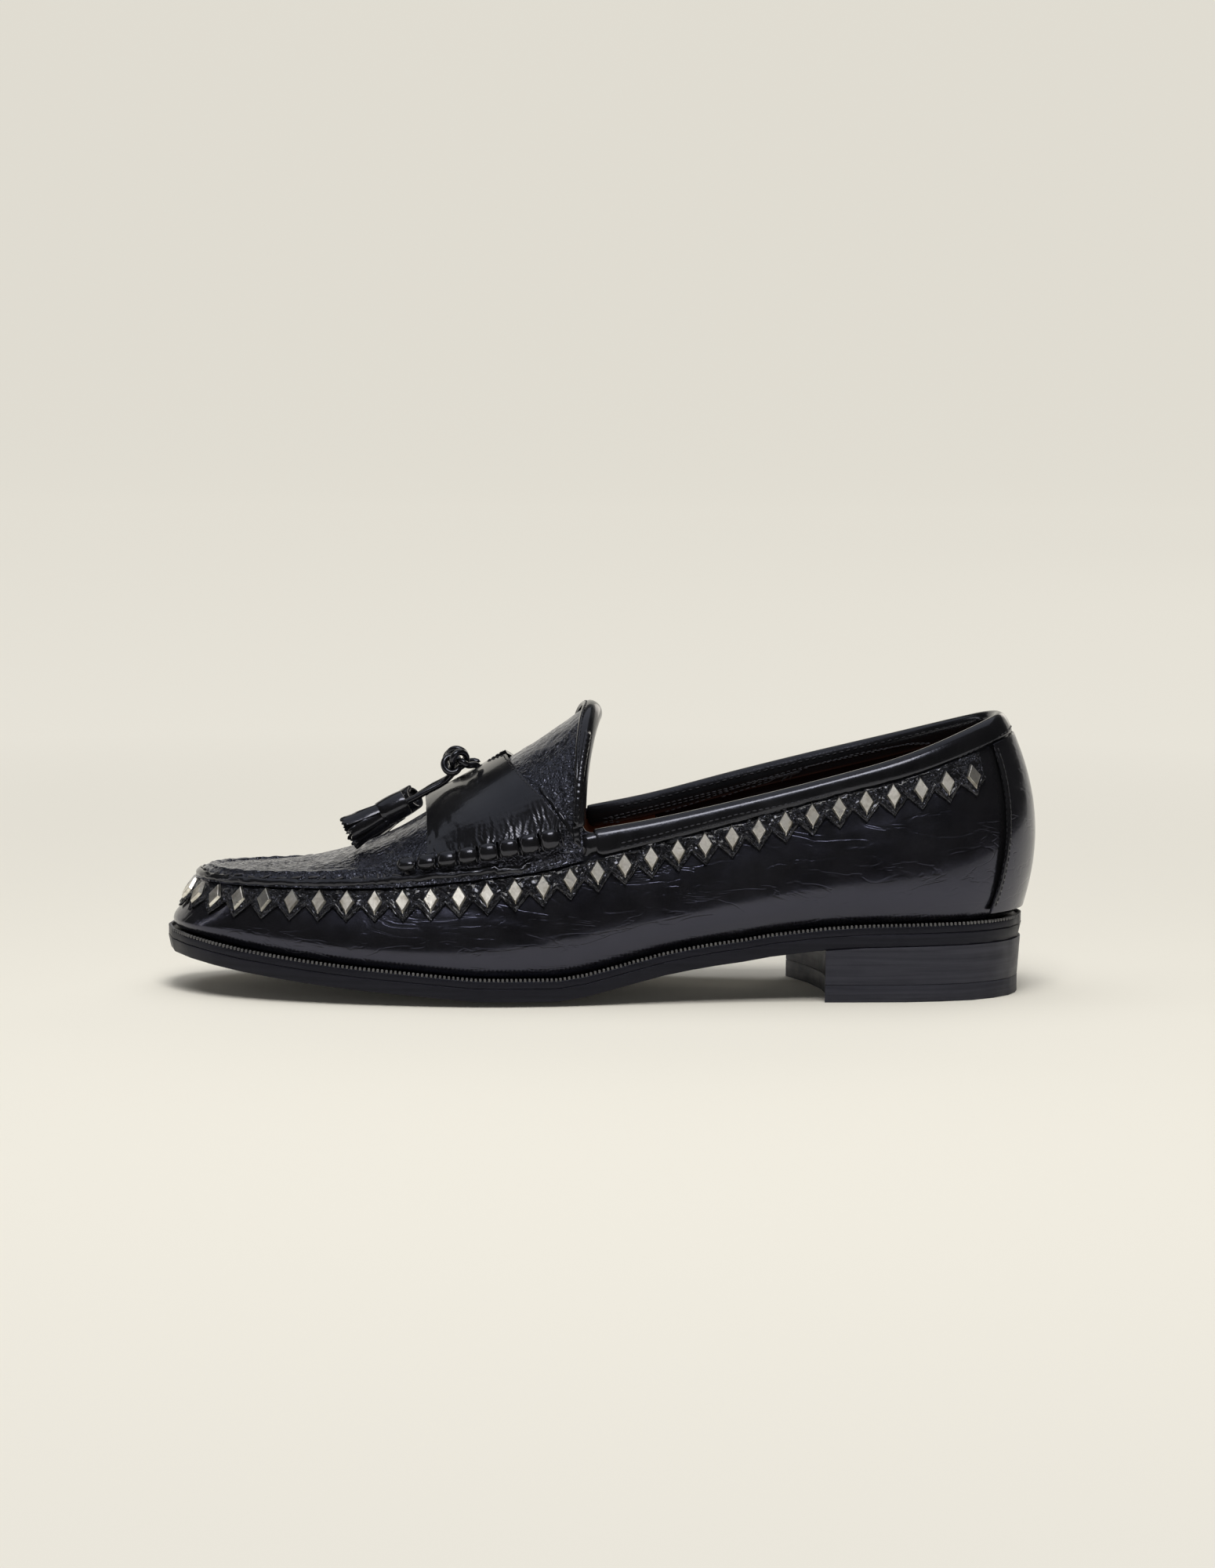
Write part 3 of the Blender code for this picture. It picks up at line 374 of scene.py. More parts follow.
def cloud(tree, place, scale, detail, **settings):
    return texture(tree, "ShaderNodeTexNoise", place, Scale=scale, Detail=detail, **settings)


def ramp(tree, source, stops):
    node = addNode(tree, "ShaderNodeValToRGB")
    elements = node.color_ramp.elements
    while len(elements) < len(stops):
        elements.new(0.5)
    for element, (place, colour) in zip(elements, stops):
        element.position = place
        element.color = (*colour, 1.0)
    tree.links.new(source, node.inputs["Fac"])
    return node.outputs["Color"]


def spread(tree, source, low, high, fromLow, fromHigh):
    node = addNode(tree, "ShaderNodeMapRange")
    setInputs(node, {"From Min": fromLow, "From Max": fromHigh, "To Min": low, "To Max": high})
    tree.links.new(source, node.inputs["Value"])
    return node.outputs["Result"]


def bump(tree, height, depth, below=None, invert=False):
    node = addNode(tree, "ShaderNodeBump", invert=invert, Strength=1.0, Distance=depth)
    tree.links.new(height, node.inputs["Height"])
    if below:
        tree.links.new(below, node.inputs["Normal"])
    return node.outputs["Normal"]


def paint(tree, shader, tone, stops, wear, rough):
    # colour from one noise, roughness from another
    tree.links.new(ramp(tree, tone, stops), shader.inputs["Base Color"])
    tree.links.new(spread(tree, wear, *rough, 0.3, 0.7), shader.inputs["Roughness"])


def leather(look):
    material, tree, shader, place = newMaterial(look["name"])
    tone = cloud(tree, place, look.get("toneScale", 70.0), 5.0)["Fac"]
    gloss = cloud(tree, place, 180.0, 4.0)["Fac"]
    paint(tree, shader, tone, [(0.30, look["dark"]), (0.72, look["light"])], gloss, look["rough"])

    normal = None
    if "creaseDepth" in look:
        stretched = texture(tree, "ShaderNodeMapping", place, Scale=(0.4, 0.7, 1.3))["Vector"]
        wander = cloud(tree, stretched, look["creaseScale"], 3.0, Distortion=0.8)["Fac"]
        hair = ramp(
            tree, wander,
            [(0.465, (0, 0, 0)), (0.492, (1, 1, 1)), (0.508, (1, 1, 1)), (0.535, (0, 0, 0))],
        )
        normal = bump(tree, hair, look["creaseDepth"], normal, invert=True)
    if "wrinkleDepth" in look:
        bent = cloud(tree, place, look["wrinkleScale"] * 0.6, 2.0)["Color"]
        shift = addNode(tree, "ShaderNodeVectorMath", operation="MULTIPLY_ADD")
        shift.inputs[1].default_value = (0.006, 0.006, 0.006)
        tree.links.new(bent, shift.inputs[0])
        tree.links.new(place, shift.inputs[2])
        cells = texture(
            tree, "ShaderNodeTexVoronoi", shift.outputs["Vector"], feature="DISTANCE_TO_EDGE",
            Scale=look["wrinkleScale"],
        )
        fold = spread(tree, cells["Distance"], 0.0, 1.0, 0.0, 0.22)
        normal = bump(tree, fold, look["wrinkleDepth"], normal)
    pores = texture(tree, "ShaderNodeTexVoronoi", place, feature="SMOOTH_F1", Scale=look["grainScale"])
    normal = bump(tree, pores["Distance"], look["grainDepth"], normal, invert=True)
    tree.links.new(normal, shader.inputs["Normal"])

    setInputs(shader, {
        "Specular IOR Level": look.get("specular", 0.5),
        "Specular Tint": (*look.get("tint", coolGloss), 1.0),
        "Coat Weight": look.get("coat", 0.0),
        "Coat Roughness": look.get("coatRough", 0.1),
        "Coat IOR": look.get("coatIor", 1.5),
        "Coat Tint": (*look.get("coatTint", (1.0, 1.0, 1.0)), 1.0),
    })
    return material


def layered(look):
    # sole edges and heel lifts: thin level lines, brushed along the edge
    material, tree, shader, place = newMaterial(look["name"])
    flat = texture(tree, "ShaderNodeMapping", place, Scale=(0.03, 0.03, 1.0))["Vector"]
    lines = cloud(tree, flat, look["lineScale"], 4.0)["Fac"]
    wear = cloud(tree, place, 220.0, 5.0)["Fac"]
    paint(tree, shader, lines, [(0.3, look["dark"]), (0.7, look["light"])], wear, look["rough"])
    normal = bump(tree, wear, look["wearDepth"], bump(tree, lines, look["lineDepth"]))
    tree.links.new(normal, shader.inputs["Normal"])
    setInputs(shader, {
        "Specular IOR Level": look.get("specular", 0.5), "Specular Tint": (*coolGloss, 1.0),
    })
    return material


def metal(look):
    # worn spots are darker and rougher
    material, tree, shader, place = newMaterial(look["name"])
    worn = cloud(tree, place, look["wornScale"], 6.0)["Fac"]
    paint(tree, shader, worn, [(0.32, look["dark"]), (0.62, look["light"])], worn, look["rough"][::-1])
    scratch = cloud(tree, place, look["scratchScale"], 2.0)["Fac"]
    tree.links.new(bump(tree, scratch, look["scratchDepth"]), shader.inputs["Normal"])
    setInputs(shader, {"Metallic": 1.0})
    return material


black = (0.0045, 0.0045, 0.005)
softBlack = (0.010, 0.010, 0.011)

quarterLeather = leather({
    "name": "quarterLeather", "dark": black, "light": softBlack, "rough": (0.17, 0.27),
    "creaseScale": 120.0, "creaseDepth": 0.03 * mm, "grainScale": 1100.0, "grainDepth": 0.012 * mm,
    "coat": 0.3, "coatRough": 0.08, "specular": 0.75, "tint": (0.66, 0.68, 1.0),
})
smoothLeather = leather({
    "name": "smoothLeather", "dark": black, "light": softBlack, "rough": (0.16, 0.26),
    "grainScale": 1300.0, "grainDepth": 0.02 * mm, "coat": 0.4, "coatRough": 0.07,
})
grainedLeather = leather({
    "name": "grainedLeather", "dark": black, "light": (0.014, 0.014, 0.015), "rough": (0.18, 0.30),
    "wrinkleScale": 520.0, "wrinkleDepth": 0.20 * mm, "grainScale": 1400.0, "grainDepth": 0.03 * mm,
    "coat": 1.0, "coatRough": 0.12, "coatIor": 1.12, "coatTint": (0.94, 0.95, 1.0), "specular": 0.85,
})
bandLeather = leather({
    "name": "bandLeather", "dark": black, "light": softBlack, "rough": (0.14, 0.24),
    "wrinkleScale": 460.0, "wrinkleDepth": 0.30 * mm, "grainScale": 1500.0, "grainDepth": 0.02 * mm,
    "coat": 0.4, "coatRough": 0.06,
})
liningLeather = leather({
    "name": "liningLeather", "dark": (0.10, 0.032, 0.013), "light": (0.22, 0.075, 0.032),
    "rough": (0.42, 0.58), "grainScale": 1000.0, "grainDepth": 0.03 * mm, "toneScale": 45.0,
})
waxedThread = leather({
    "name": "waxedThread", "dark": (0.022, 0.021, 0.021), "light": (0.055, 0.053, 0.052),
    "rough": (0.3, 0.42), "grainScale": 2600.0, "grainDepth": 0.05 * mm, "toneScale": 400.0,
})
thread = leather({
    "name": "thread", "dark": (0.014, 0.014, 0.015), "light": (0.035, 0.034, 0.034),
    "rough": (0.38, 0.5), "grainScale": 3000.0, "grainDepth": 0.04 * mm, "toneScale": 400.0,
})
soleEdge = layered({
    "name": "soleEdge", "dark": (0.005, 0.005, 0.007), "light": (0.012, 0.012, 0.017),
    "rough": (0.36, 0.50), "lineScale": 900.0, "lineDepth": 0.05 * mm, "wearDepth": 0.04 * mm,
    "specular": 0.25,
})
# the wheeling teeth are painted light grey: a painted highlight for the glints they catch from the lamps
# above
teethPaintedGlint = layered({
    "name": "teethPaintedGlint", "dark": (0.05, 0.049, 0.048), "light": (0.14, 0.137, 0.132),
    "rough": (0.28, 0.4), "lineScale": 900.0, "lineDepth": 0.03 * mm, "wearDepth": 0.03 * mm,
})
heelStackFinish = layered({
    "name": "heelStackFinish", "dark": (0.015, 0.015, 0.020), "light": (0.035, 0.035, 0.045),
    "rough": (0.40, 0.55), "lineScale": 900.0, "lineDepth": 0.08 * mm, "wearDepth": 0.06 * mm,
})
liftRubber = layered({
    "name": "liftRubber", "dark": (0.014, 0.014, 0.018), "light": (0.032, 0.032, 0.041),
    "rough": (0.5, 0.65), "lineScale": 1200.0, "lineDepth": 0.05 * mm, "wearDepth": 0.08 * mm,
})
studMetal = metal({
    "name": "studMetal", "dark": (0.40, 0.37, 0.32), "light": (0.92, 0.89, 0.83),
    "rough": (0.27, 0.42), "wornScale": 330.0, "scratchScale": 1500.0, "scratchDepth": 0.02 * mm,
})
print("materials made")


# Upper: the wall with its creases, and the lining inside it

upperLook = {
    "levels": 2,
    "spineHeight": 38 * mm,
    "spineHalf": 105 * mm,
    # creases on the outside of both walls: start and end as x, z, then depth and half width
    "creases": [
        ((-50, 30), (-4, 22), 0.16, 1.2),
        ((-44, 25), (-14, 19), 0.12, 1.2),
        ((66, 47), (96, 53), 0.16, 1.1),
        ((92, 52.5), (118, 60), 0.16, 1.1),
        ((20, 40), (44, 33), 0.08, 1.4),
    ],
    "ridgeShare": 0.55,
    # the rear wall is fullest a little above the welt
    "weltHeights": [(-132, 12), (-30, 8), (0, 11), (20, 16), (60, 23), (135, 26)],
    # inside, black leather comes down from the rim to this height, and brown lining below it
    "liningTop": [(-132, 40), (0, 48.5), (25, 50), (60, 56), (135, 68)],
    # up to this height above the welt the inside is black again instead of lining: painted shade for the
    # gap above the welt
    "paintedShadeFoot": 5,
    "fullness": 0.5 * mm,
    "fullAt": 7.0 * mm,
    "fullReach": 5.0 * mm,
    "fullFrom": -10 * mm,
    "fullBy": 30 * mm,
    # the toe is fullest just above the welt too
    "toeFullness": 2.2 * mm,
    "toeAt": 21 * mm,
    "toeReach": 4.5 * mm,
    "toeFrom": -108 * mm,
    "toeBy": -126 * mm,
}


def between(rows, x):
    for (x0, y0), (x1, y1) in zip(rows, rows[1:]):
        if x <= x1:
            return y0 + (y1 - y0) * (x - x0) / (x1 - x0)
    return rows[-1][1]


def ease(value):
    value = max(0.0, min(1.0, value))
    return value * value * (3 - 2 * value)


def wallFullness(point):
    look = upperLook
    rear = ease((point.x - look["fullFrom"]) / (look["fullBy"] - look["fullFrom"]))
    height = point.z - between(look["weltHeights"], point.x / mm) * mm
    reach = (height - look["fullAt"]) / look["fullReach"]
    fullness = look["fullness"] * rear * math.exp(-reach * reach)
    toe = ease((point.x - look["toeFrom"]) / (look["toeBy"] - look["toeFrom"]))
    reach = (point.z - look["toeAt"]) / look["toeReach"]
    return fullness + look["toeFullness"] * toe * math.exp(-reach * reach)


def isInside(centre, normal):
    outward = fromMiddle(centre, upperLook["spineHalf"])
    outward.z = centre.z - upperLook["spineHeight"]
    return normal.dot(outward) < 0


def creaseLift(point, crease):
    (x0, z0), (x1, z1), depth, half = crease
    along = Vector((x1 - x0, z1 - z0))
    place = Vector((point.x / mm - x0, point.z / mm - z0))
    share = max(0.0, min(1.0, place.dot(along) / along.length_squared))
    reach = (place - along * share).length / half
    fade = math.sin(math.pi * (0.08 + 0.84 * share))
    trough = math.exp(-reach * reach)
    ridge = math.exp(-(reach - 1.9) ** 2) * upperLook["ridgeShare"]
    return (ridge - trough) * depth * fade * mm


def makeUpper():
    upper = copyNode("upper", "upperWall")
    subdivide(upper, upperLook["levels"])
    finishPiece(upper, "upper", "upper_leather", quarterLeather, liningLeather)
    for polygon in upper.data.polygons:
        height = polygon.center.z / mm
        lined = height < between(upperLook["liningTop"], polygon.center.x / mm)
        # inside faces this close to the welt stay black leather: painted shade
        foot = between(upperLook["weltHeights"], polygon.center.x / mm) + upperLook["paintedShadeFoot"]
        inside = isInside(polygon.center, polygon.normal)
        polygon.material_index = 1 if inside and lined and height >= foot else 0
    for vertex, normal in withNormals(upper):
        if isInside(vertex.co, normal):
            continue
        lift = sum(creaseLift(vertex.co, crease) for crease in upperLook["creases"])
        sideways = Vector((normal.x, normal.y, 0.0))
        vertex.co += normal * lift + sideways * wallFullness(vertex.co)
    return upper


upperWall = makeUpper()
upperSurface = surfaceOf(upperWall)
print("upper", len(upperWall.data.polygons))


# Panels that keep the solid's form with softened edges

panelLook = [
    # node, piece, edge softening in mm, levels, finish
    ("apron", "apronPlug", 0.25, 2, grainedLeather),
    ("saddle", "saddleStrap", 0.25, 2, smoothLeather),
    ("collar_binding", "collarRoll", 0.0, 2, smoothLeather),
    ("tongue_binding", "tongueRoll", 0.0, 2, smoothLeather),
    ("heel_counter", "heelPanel", 0.25, 2, quarterLeather),
]


def makePanel(node, name, edge, levels, finish):
    panel = copyNode(node, name)
    if edge:
        softEdges(panel, edge * mm)
    subdivide(panel, levels)
    bpy.ops.object.shade_smooth()
    return finishPiece(panel, node, "upper_leather", finish)


panels = {row[0]: makePanel(*row) for row in panelLook}
print("panels", {name: len(panel.data.polygons) for name, panel in panels.items()})


# Grain: shallow lines between cells of leather, over the plug and the tongue

grainLook = {
    "cell": (2.1 * mm, 1.6 * mm, 1.6 * mm),
    "depth": 0.20 * mm,
    "line": 0.15,
    "warp": 0.45,
    # creases on the tongue's sides and on the flange under the beads: start, end, depth, half width
    "creases": [
        ((-6.5, 84), (-9.5, 70), 0.32, 0.7),
        ((-9.0, 80), (-12.5, 62), 0.30, 0.7),
        ((-12.5, 74), (-15, 60), 0.24, 0.6),
        ((-9.5, 68), (-11, 53), 0.34, 0.7),
        ((-13.5, 66), (-14, 55), 0.26, 0.6),
        ((-18, 67), (-16, 57), 0.26, 0.6),
        ((-21.5, 67), (-19.5, 60), 0.22, 0.6),
        ((-23, 74), (-12, 79), 0.14, 0.7),
        ((-26, 71.5), (-15, 74), 0.14, 0.7),
        ((-45, 40), (-34, 41.5), 0.26, 0.6),
        ((-38, 42.2), (-27, 43.0), 0.30, 0.6),
        ((-33, 40.6), (-22, 42.0), 0.30, 0.6),
        ((-26, 43.2), (-15, 45.2), 0.34, 0.7),
        ((-21, 41.8), (-10, 44.6), 0.34, 0.7),
        ((-15, 46.5), (-8, 47.5), 0.30, 0.7),
    ],
}


def grainLift(point):
    spot = Vector(place / size for place, size in zip(point, grainLook["cell"]))
    spot += noise.noise_vector(spot * 0.6) * grainLook["warp"]
    nearest = noise.voronoi(spot)[0]
    groove = (nearest[1] - nearest[0]) / grainLook["line"]
    return -grainLook["depth"] * math.exp(-groove * groove)


def grainApron():
    apron = panels["apron"]
    selectFaces(apron, lambda polygon: polygon.normal.z > 0.05)
    bpy.ops.mesh.subdivide(number_cuts=1, smoothness=0.0)
    objectMode()
    for vertex, normal in withNormals(apron):
        if normal.z > 0.1:
            folds = sum(creaseLift(vertex.co, crease) for crease in grainLook["creases"])
            vertex.co += normal * (grainLift(vertex.co) + folds)
    print("apron", len(apron.data.polygons))


grainApron()


# Gathers: fine crinkles that fan up the saddle from the beads

gatherLook = {"count": 58, "from": -58.0, "to": -12.0, "lowFront": 42.5, "lowBack": 52.0,
              "height": (3.0, 12.0), "depth": (0.18, 0.42), "frontShare": 0.35, "fullSooner": 1.6,
              "lean": 0.35, "half": 0.34, "wobble": 0.6,
              # the front of the strap lies down on the vamp below its slit
              "front": -54.6, "blend": 24.0, "slitFoot": 62.0, "slitFade": 15.0, "lie": 0.2 * mm}


def gatherRows():
    rows = []
    look = gatherLook
    for k in range(look["count"]):
        share = (k + chance.uniform(0.1, 0.9)) / look["count"]
        x = look["from"] + (look["to"] - look["from"]) * share
        low = look["lowFront"] + (look["lowBack"] - look["lowFront"]) * share
        swell = look["frontShare"] + (1 - look["frontShare"]) * ease(share * look["fullSooner"])
        height = chance.uniform(*look["height"]) * swell
        lean = chance.uniform(-1, 1) * look["lean"]
        depth = chance.uniform(*look["depth"]) * swell
        rows.append((x, low, height, lean, depth, chance.uniform(0, 6)))
    return rows


def gatherLift(point, row):
    x, low, height, lean, depth, phase = row
    run = (point.z / mm - low) / height
    if not -0.3 < run < 1:
        return 0.0
    centre = x + lean * run * height + gatherLook["wobble"] * math.sin(phase + 5 * run)
    reach = (point.x / mm - centre) / gatherLook["half"]
    if abs(reach) > 4:
        return 0.0
    fade = (1 - max(0.0, run)) ** 1.3
    return (0.6 * math.exp(-(abs(reach) - 1.6) ** 2) - math.exp(-reach * reach)) * depth * fade * mm


def layDown(point):
    # how far a spot of the strap is let down on to what it lies on: 1 at its low front edge
    front = 1 - ease((point.x / mm - gatherLook["front"]) / gatherLook["blend"])
    return front * ease((gatherLook["slitFoot"] - point.z / mm) / gatherLook["slitFade"])


def gatherSaddle():
    saddle = panels["saddle"]
    under = surfaceOf(panels["apron"], upperWall)
    for vertex in saddle.data.vertices:
        share = layDown(vertex.co)
        if share > 0:
            spot, normal = under.find_nearest(vertex.co)[:2]
            vertex.co = vertex.co.lerp(spot + normal * gatherLook["lie"], share)
    rows = gatherRows()
    top = gatherLook["lowBack"] + gatherLook["height"][1]
    selectFaces(saddle, lambda polygon: polygon.normal.z > 0 and polygon.center.z < top * mm)
    bpy.ops.mesh.subdivide(number_cuts=3, smoothness=0.0)
    objectMode()
    for vertex, normal in withNormals(saddle):
        if normal.z > 0 and vertex.co.z < top * mm:
            vertex.co += normal * sum(gatherLift(vertex.co, row) for row in rows)


gatherSaddle()


# Sole, welt, insole and heel

soleLook = [
    ("outsole", "soleLeather", 0.3, 3, "sole_leather", soleEdge),
    ("welt", "weltStrip", 0.3, 3, "sole_leather", soleEdge),
    ("heel_stack", "heelStack", 0.08, 1, "sole_leather", heelStackFinish),
    ("heel_lift", "heelTopLift", 0.12, 2, "heel_rubber", liftRubber),
    ("insole", "footbed", 0.4, 2, "lining_leather", liningLeather),
]


# the solids keep a small gap between them, which the layers of a real sole do not show
soleNudge = {"heel_stack": (1, 0.25 * mm), "heel_lift": (1, 0.2 * mm), "welt": (-1, 0.25 * mm)}


def closeGap(piece, way, distance):
    for vertex, normal in withNormals(piece):
        if normal.z * way > 0.3:
            vertex.co.z += way * distance


def makeSole(node, name, edge, segments, slotName, finish):
    piece = copyNode(node, name)
    if node in soleNudge:
        closeGap(piece, *soleNudge[node])
    softEdges(piece, edge * mm, segments, 50.0)
    smoothBelow(piece)
    return finishPiece(piece, node, slotName, finish)


soles = {row[0]: makeSole(*row) for row in soleLook}
# a line of the footbed's side shows above the welt, so the sides are painted as dark as the sole: painted
# shade for the gap between upper and welt
faceUp = 0.6
soles["insole"].data.materials.append(soleEdge)
for polygon in soles["insole"].data.polygons:
    polygon.material_index = 0 if polygon.normal.z > faceUp else 1
print("soles", {name: len(piece.data.polygons) for name, piece in soles.items()})


# Zigzag band with its studs

bandLook = {"cuts": 3, "offset": 1.0 * mm, "thick": 0.8 * mm, "border": 0.8 * mm, "step": 0.35 * mm,
            "edge": 0.12 * mm, "flatHeight": 1.9 * mm, "crinkle": 1.8}
studLook = {"length": 8.3 * mm, "width": 4.9 * mm, "height": 1.1 * mm, "flat": 0.80, "edge": 0.10 * mm,
            "sink": 0.15 * mm}


def studPlaces(band):
    # a stud's flat is the group of four corners that stand highest above the upper
    mesh = band.data
    high = {
        vertex.index for vertex in mesh.vertices
        if upperSurface.find_nearest(vertex.co)[3] > bandLook["flatHeight"]
    }
    groups = {}
    for polygon in mesh.polygons:
        corners = set(polygon.vertices)
        if not corners <= high:
            continue
        joined = frozenset(corners.union(*(group for group in groups if group & corners)))
        groups = {group: None for group in groups if not group & corners}
        groups[joined] = None
    places = []
    for group in groups:
        corners = [mesh.vertices[index].co for index in group]
        centre = sum(corners, Vector()) / len(corners)
        far = max(corners, key=lambda corner: (corner - centre).length)
        others = sorted(corners, key=lambda corner: abs((corner - centre).dot(far - centre)))
        normal = (far - centre).cross(others[0] - centre).normalized()
        if normal.dot(upperSurface.find_nearest(centre)[1]) < 0:
            normal = -normal
        foot = upperSurface.find_nearest(centre)[0] + normal * (bandLook["offset"] + bandLook["step"])
        places.append(seat(foot - normal * studLook["sink"], far - centre, normal))
    return places, high


def makeStudShape():
    stud = startShape(
        bpy.ops.mesh.primitive_cone_add, vertices=4, radius1=1.0, radius2=studLook["flat"], depth=1.0,
    )
    editAll(stud)
    bpy.ops.transform.translate(value=(0, 0, 0.5))
    bpy.ops.transform.resize(
        value=(studLook["length"] / 2, studLook["width"] / 2, studLook["height"]), center_override=(0, 0, 0)
    )
    objectMode()
    softEdges(stud, studLook["edge"], 1, 20.0)
    smoothBelow(stud, 12)
    return stud


def makeBand():
    band = copyNode("stud_band", "zigzagBand", 20.0)
    places, high = studPlaces(band)

    def isHidden(polygon):
        outer = polygon.normal.dot(upperSurface.find_nearest(polygon.center)[1]) > 0.6
        return not outer or any(index in high for index in polygon.vertices)

    selectFaces(band, isHidden)
    bpy.ops.mesh.delete(type="FACE")
    bpy.ops.mesh.select_all(action="SELECT")
    bpy.ops.mesh.fill_holes(sides=4)
    bpy.ops.mesh.select_all(action="SELECT")
    bpy.ops.mesh.inset(thickness=bandLook["border"], use_boundary=True)
    bpy.ops.object.vertex_group_assign_new()
    bpy.ops.mesh.select_all(action="SELECT")
    bpy.ops.mesh.subdivide(number_cuts=bandLook["cuts"])
    objectMode()
    applyModifier(
        band, "SHRINKWRAP", target=upperWall, wrap_method="NEAREST_SURFACEPOINT",
        wrap_mode="ABOVE_SURFACE", offset=bandLook["offset"],
    )
    applyModifier(
        band, "DISPLACE", strength=bandLook["step"], mid_level=0.0, vertex_group=band.vertex_groups[0].name,
    )
    for vertex, normal in withNormals(band):
        vertex.co += normal * bandLook["crinkle"] * grainLift(vertex.co)
    applyModifier(band, "SOLIDIFY", thickness=bandLook["thick"], offset=-1.0)
    softEdges(band, bandLook["edge"], 2, 40.0)
    smoothBelow(band)
    finishPiece(band, "stud_band", "upper_leather", bandLeather)
    studs = scatter("diamondStuds", makeStudShape(), places)
    finishPiece(studs, "stud_band", "stud_metal", studMetal)
    print("studs placed", len(places))
    return band, studs


zigzagBand, diamondStuds = makeBand()
print("band", len(zigzagBand.data.polygons), "studs", len(diamondStuds.data.polygons))


# Beads of gathered leather along the saddle, tied between with pairs of thread loops

beadLook = {"ringSides": 8, "ringsPerBead": 3, "count": 8, "plump": 1.02, "tall": 1.95, "deep": 1.7,
            "round": 0.34, "loopGap": 0.55 * mm, "loopThick": 0.75 * mm, "loopReach": 1.02 * 0.88}


def beadRings(cage):
    points = [vertex.co for vertex in cage.data.vertices]
    first = min(points, key=lambda point: point.x)
    last = max(points, key=lambda point: point.x)
    axis = (last - first).normalized()
    ordered = sorted(points, key=lambda point: point.dot(axis))
    sides = beadLook["ringSides"]
    rings = [ordered[k:k + sides] for k in range(0, len(ordered) - sides + 1, sides)]
    centres = [sum(ring, Vector()) / sides for ring in rings]
    reaches = [max((point - centre).length for point in ring) for ring, centre in zip(rings, centres)]
    return centres, reaches


def makeBeadShape():
    bead = startShape(bpy.ops.mesh.primitive_cube_add, size=1.0)
    softEdges(bead, beadLook["round"], 2, 20.0)
    subdivide(bead, 1)
    bpy.ops.object.shade_smooth()
    return bead


def makeLoopShape():
    # the loop is one unit across, and its thickness is for a bead of 4 mm
    loop = startShape(
        bpy.ops.mesh.primitive_torus_add, major_segments=20, minor_segments=8, major_radius=0.5,
        minor_radius=0.5 * beadLook["loopThick"] / (4 * mm),
    )
    editAll(loop)
    bpy.ops.transform.rotate(value=math.radians(90), orient_axis="Y", center_override=(0, 0, 0))
    objectMode()
    bpy.ops.object.shade_smooth()
    return loop


def makeBeads(side):
    node = f"bead_roll_{side}"
    cage = copyNode(node, "beadCage")
    centres, reaches = beadRings(cage)
    bpy.data.objects.remove(cage)
    step = beadLook["ringsPerBead"]
    tall, deep = beadLook["tall"], beadLook["deep"]
    beadPlaces, loopPlaces = [], []
    for k in range(beadLook["count"]):
        a, b = centres[k * step], centres[(k + 1) * step]
        middle = (centres[k * step + 1] + centres[k * step + 2]) / 2
        normal = upperSurface.find_nearest(middle)[1]
        reach = 2 * reaches[k * step + 1]
        size = Matrix.Diagonal(((b - a).length * beadLook["plump"], reach * tall, reach * deep, 1.0))
        beadPlaces.append(seat(middle, b - a, normal) @ size)
        ring = reach * beadLook["loopReach"]
        size = Matrix.Diagonal((ring, ring * tall, ring, 1))
        for share in (-1, 1):
            tie = b + (b - a).normalized() * beadLook["loopGap"] * share
            loopPlaces.append(seat(tie, b - a, normal) @ size)
    beads = scatter(f"beads_{side}", makeBeadShape(), beadPlaces)
    finishPiece(beads, node, "upper_leather", smoothLeather)
    trim(scatter(f"beadTies_{side}", makeLoopShape(), loopPlaces), smoothLeather)
    return beads


beads = {side: makeBeads(side) for side in tassels}
print("beads", [len(piece.data.polygons) for piece in beads.values()])


# Tassels: a rolled cap with an open rim, and a fringe of broad strips with ragged ends

capLook = {"radius": 4.3 * mm, "length": 8.8 * mm, "turns": 1.16, "thick": 0.85 * mm, "swell": 0.25 * mm,
           "core": 3.1 * mm, "coreDepth": 1.0 * mm, "seam": 3.9, "edge": 0.2 * mm}
fringeLook = {"strips": 8, "length": 12.4 * mm, "tuck": 1.2 * mm, "startRadius": 3.1 * mm,
              "endRadius": 4.7 * mm, "width": 3.5 * mm, "thick": 0.85 * mm, "ragged": 0.75 * mm,
              "ripple": 0.12 * mm, "overlap": 0.5 * mm, "edge": 0.12 * mm}


def tasselAxes(side):
    axis = tassels[side]["axis"].normalized()
    across = axis.cross(Vector((0, 0, 1))).normalized()
    return axis, across, axis.cross(across)


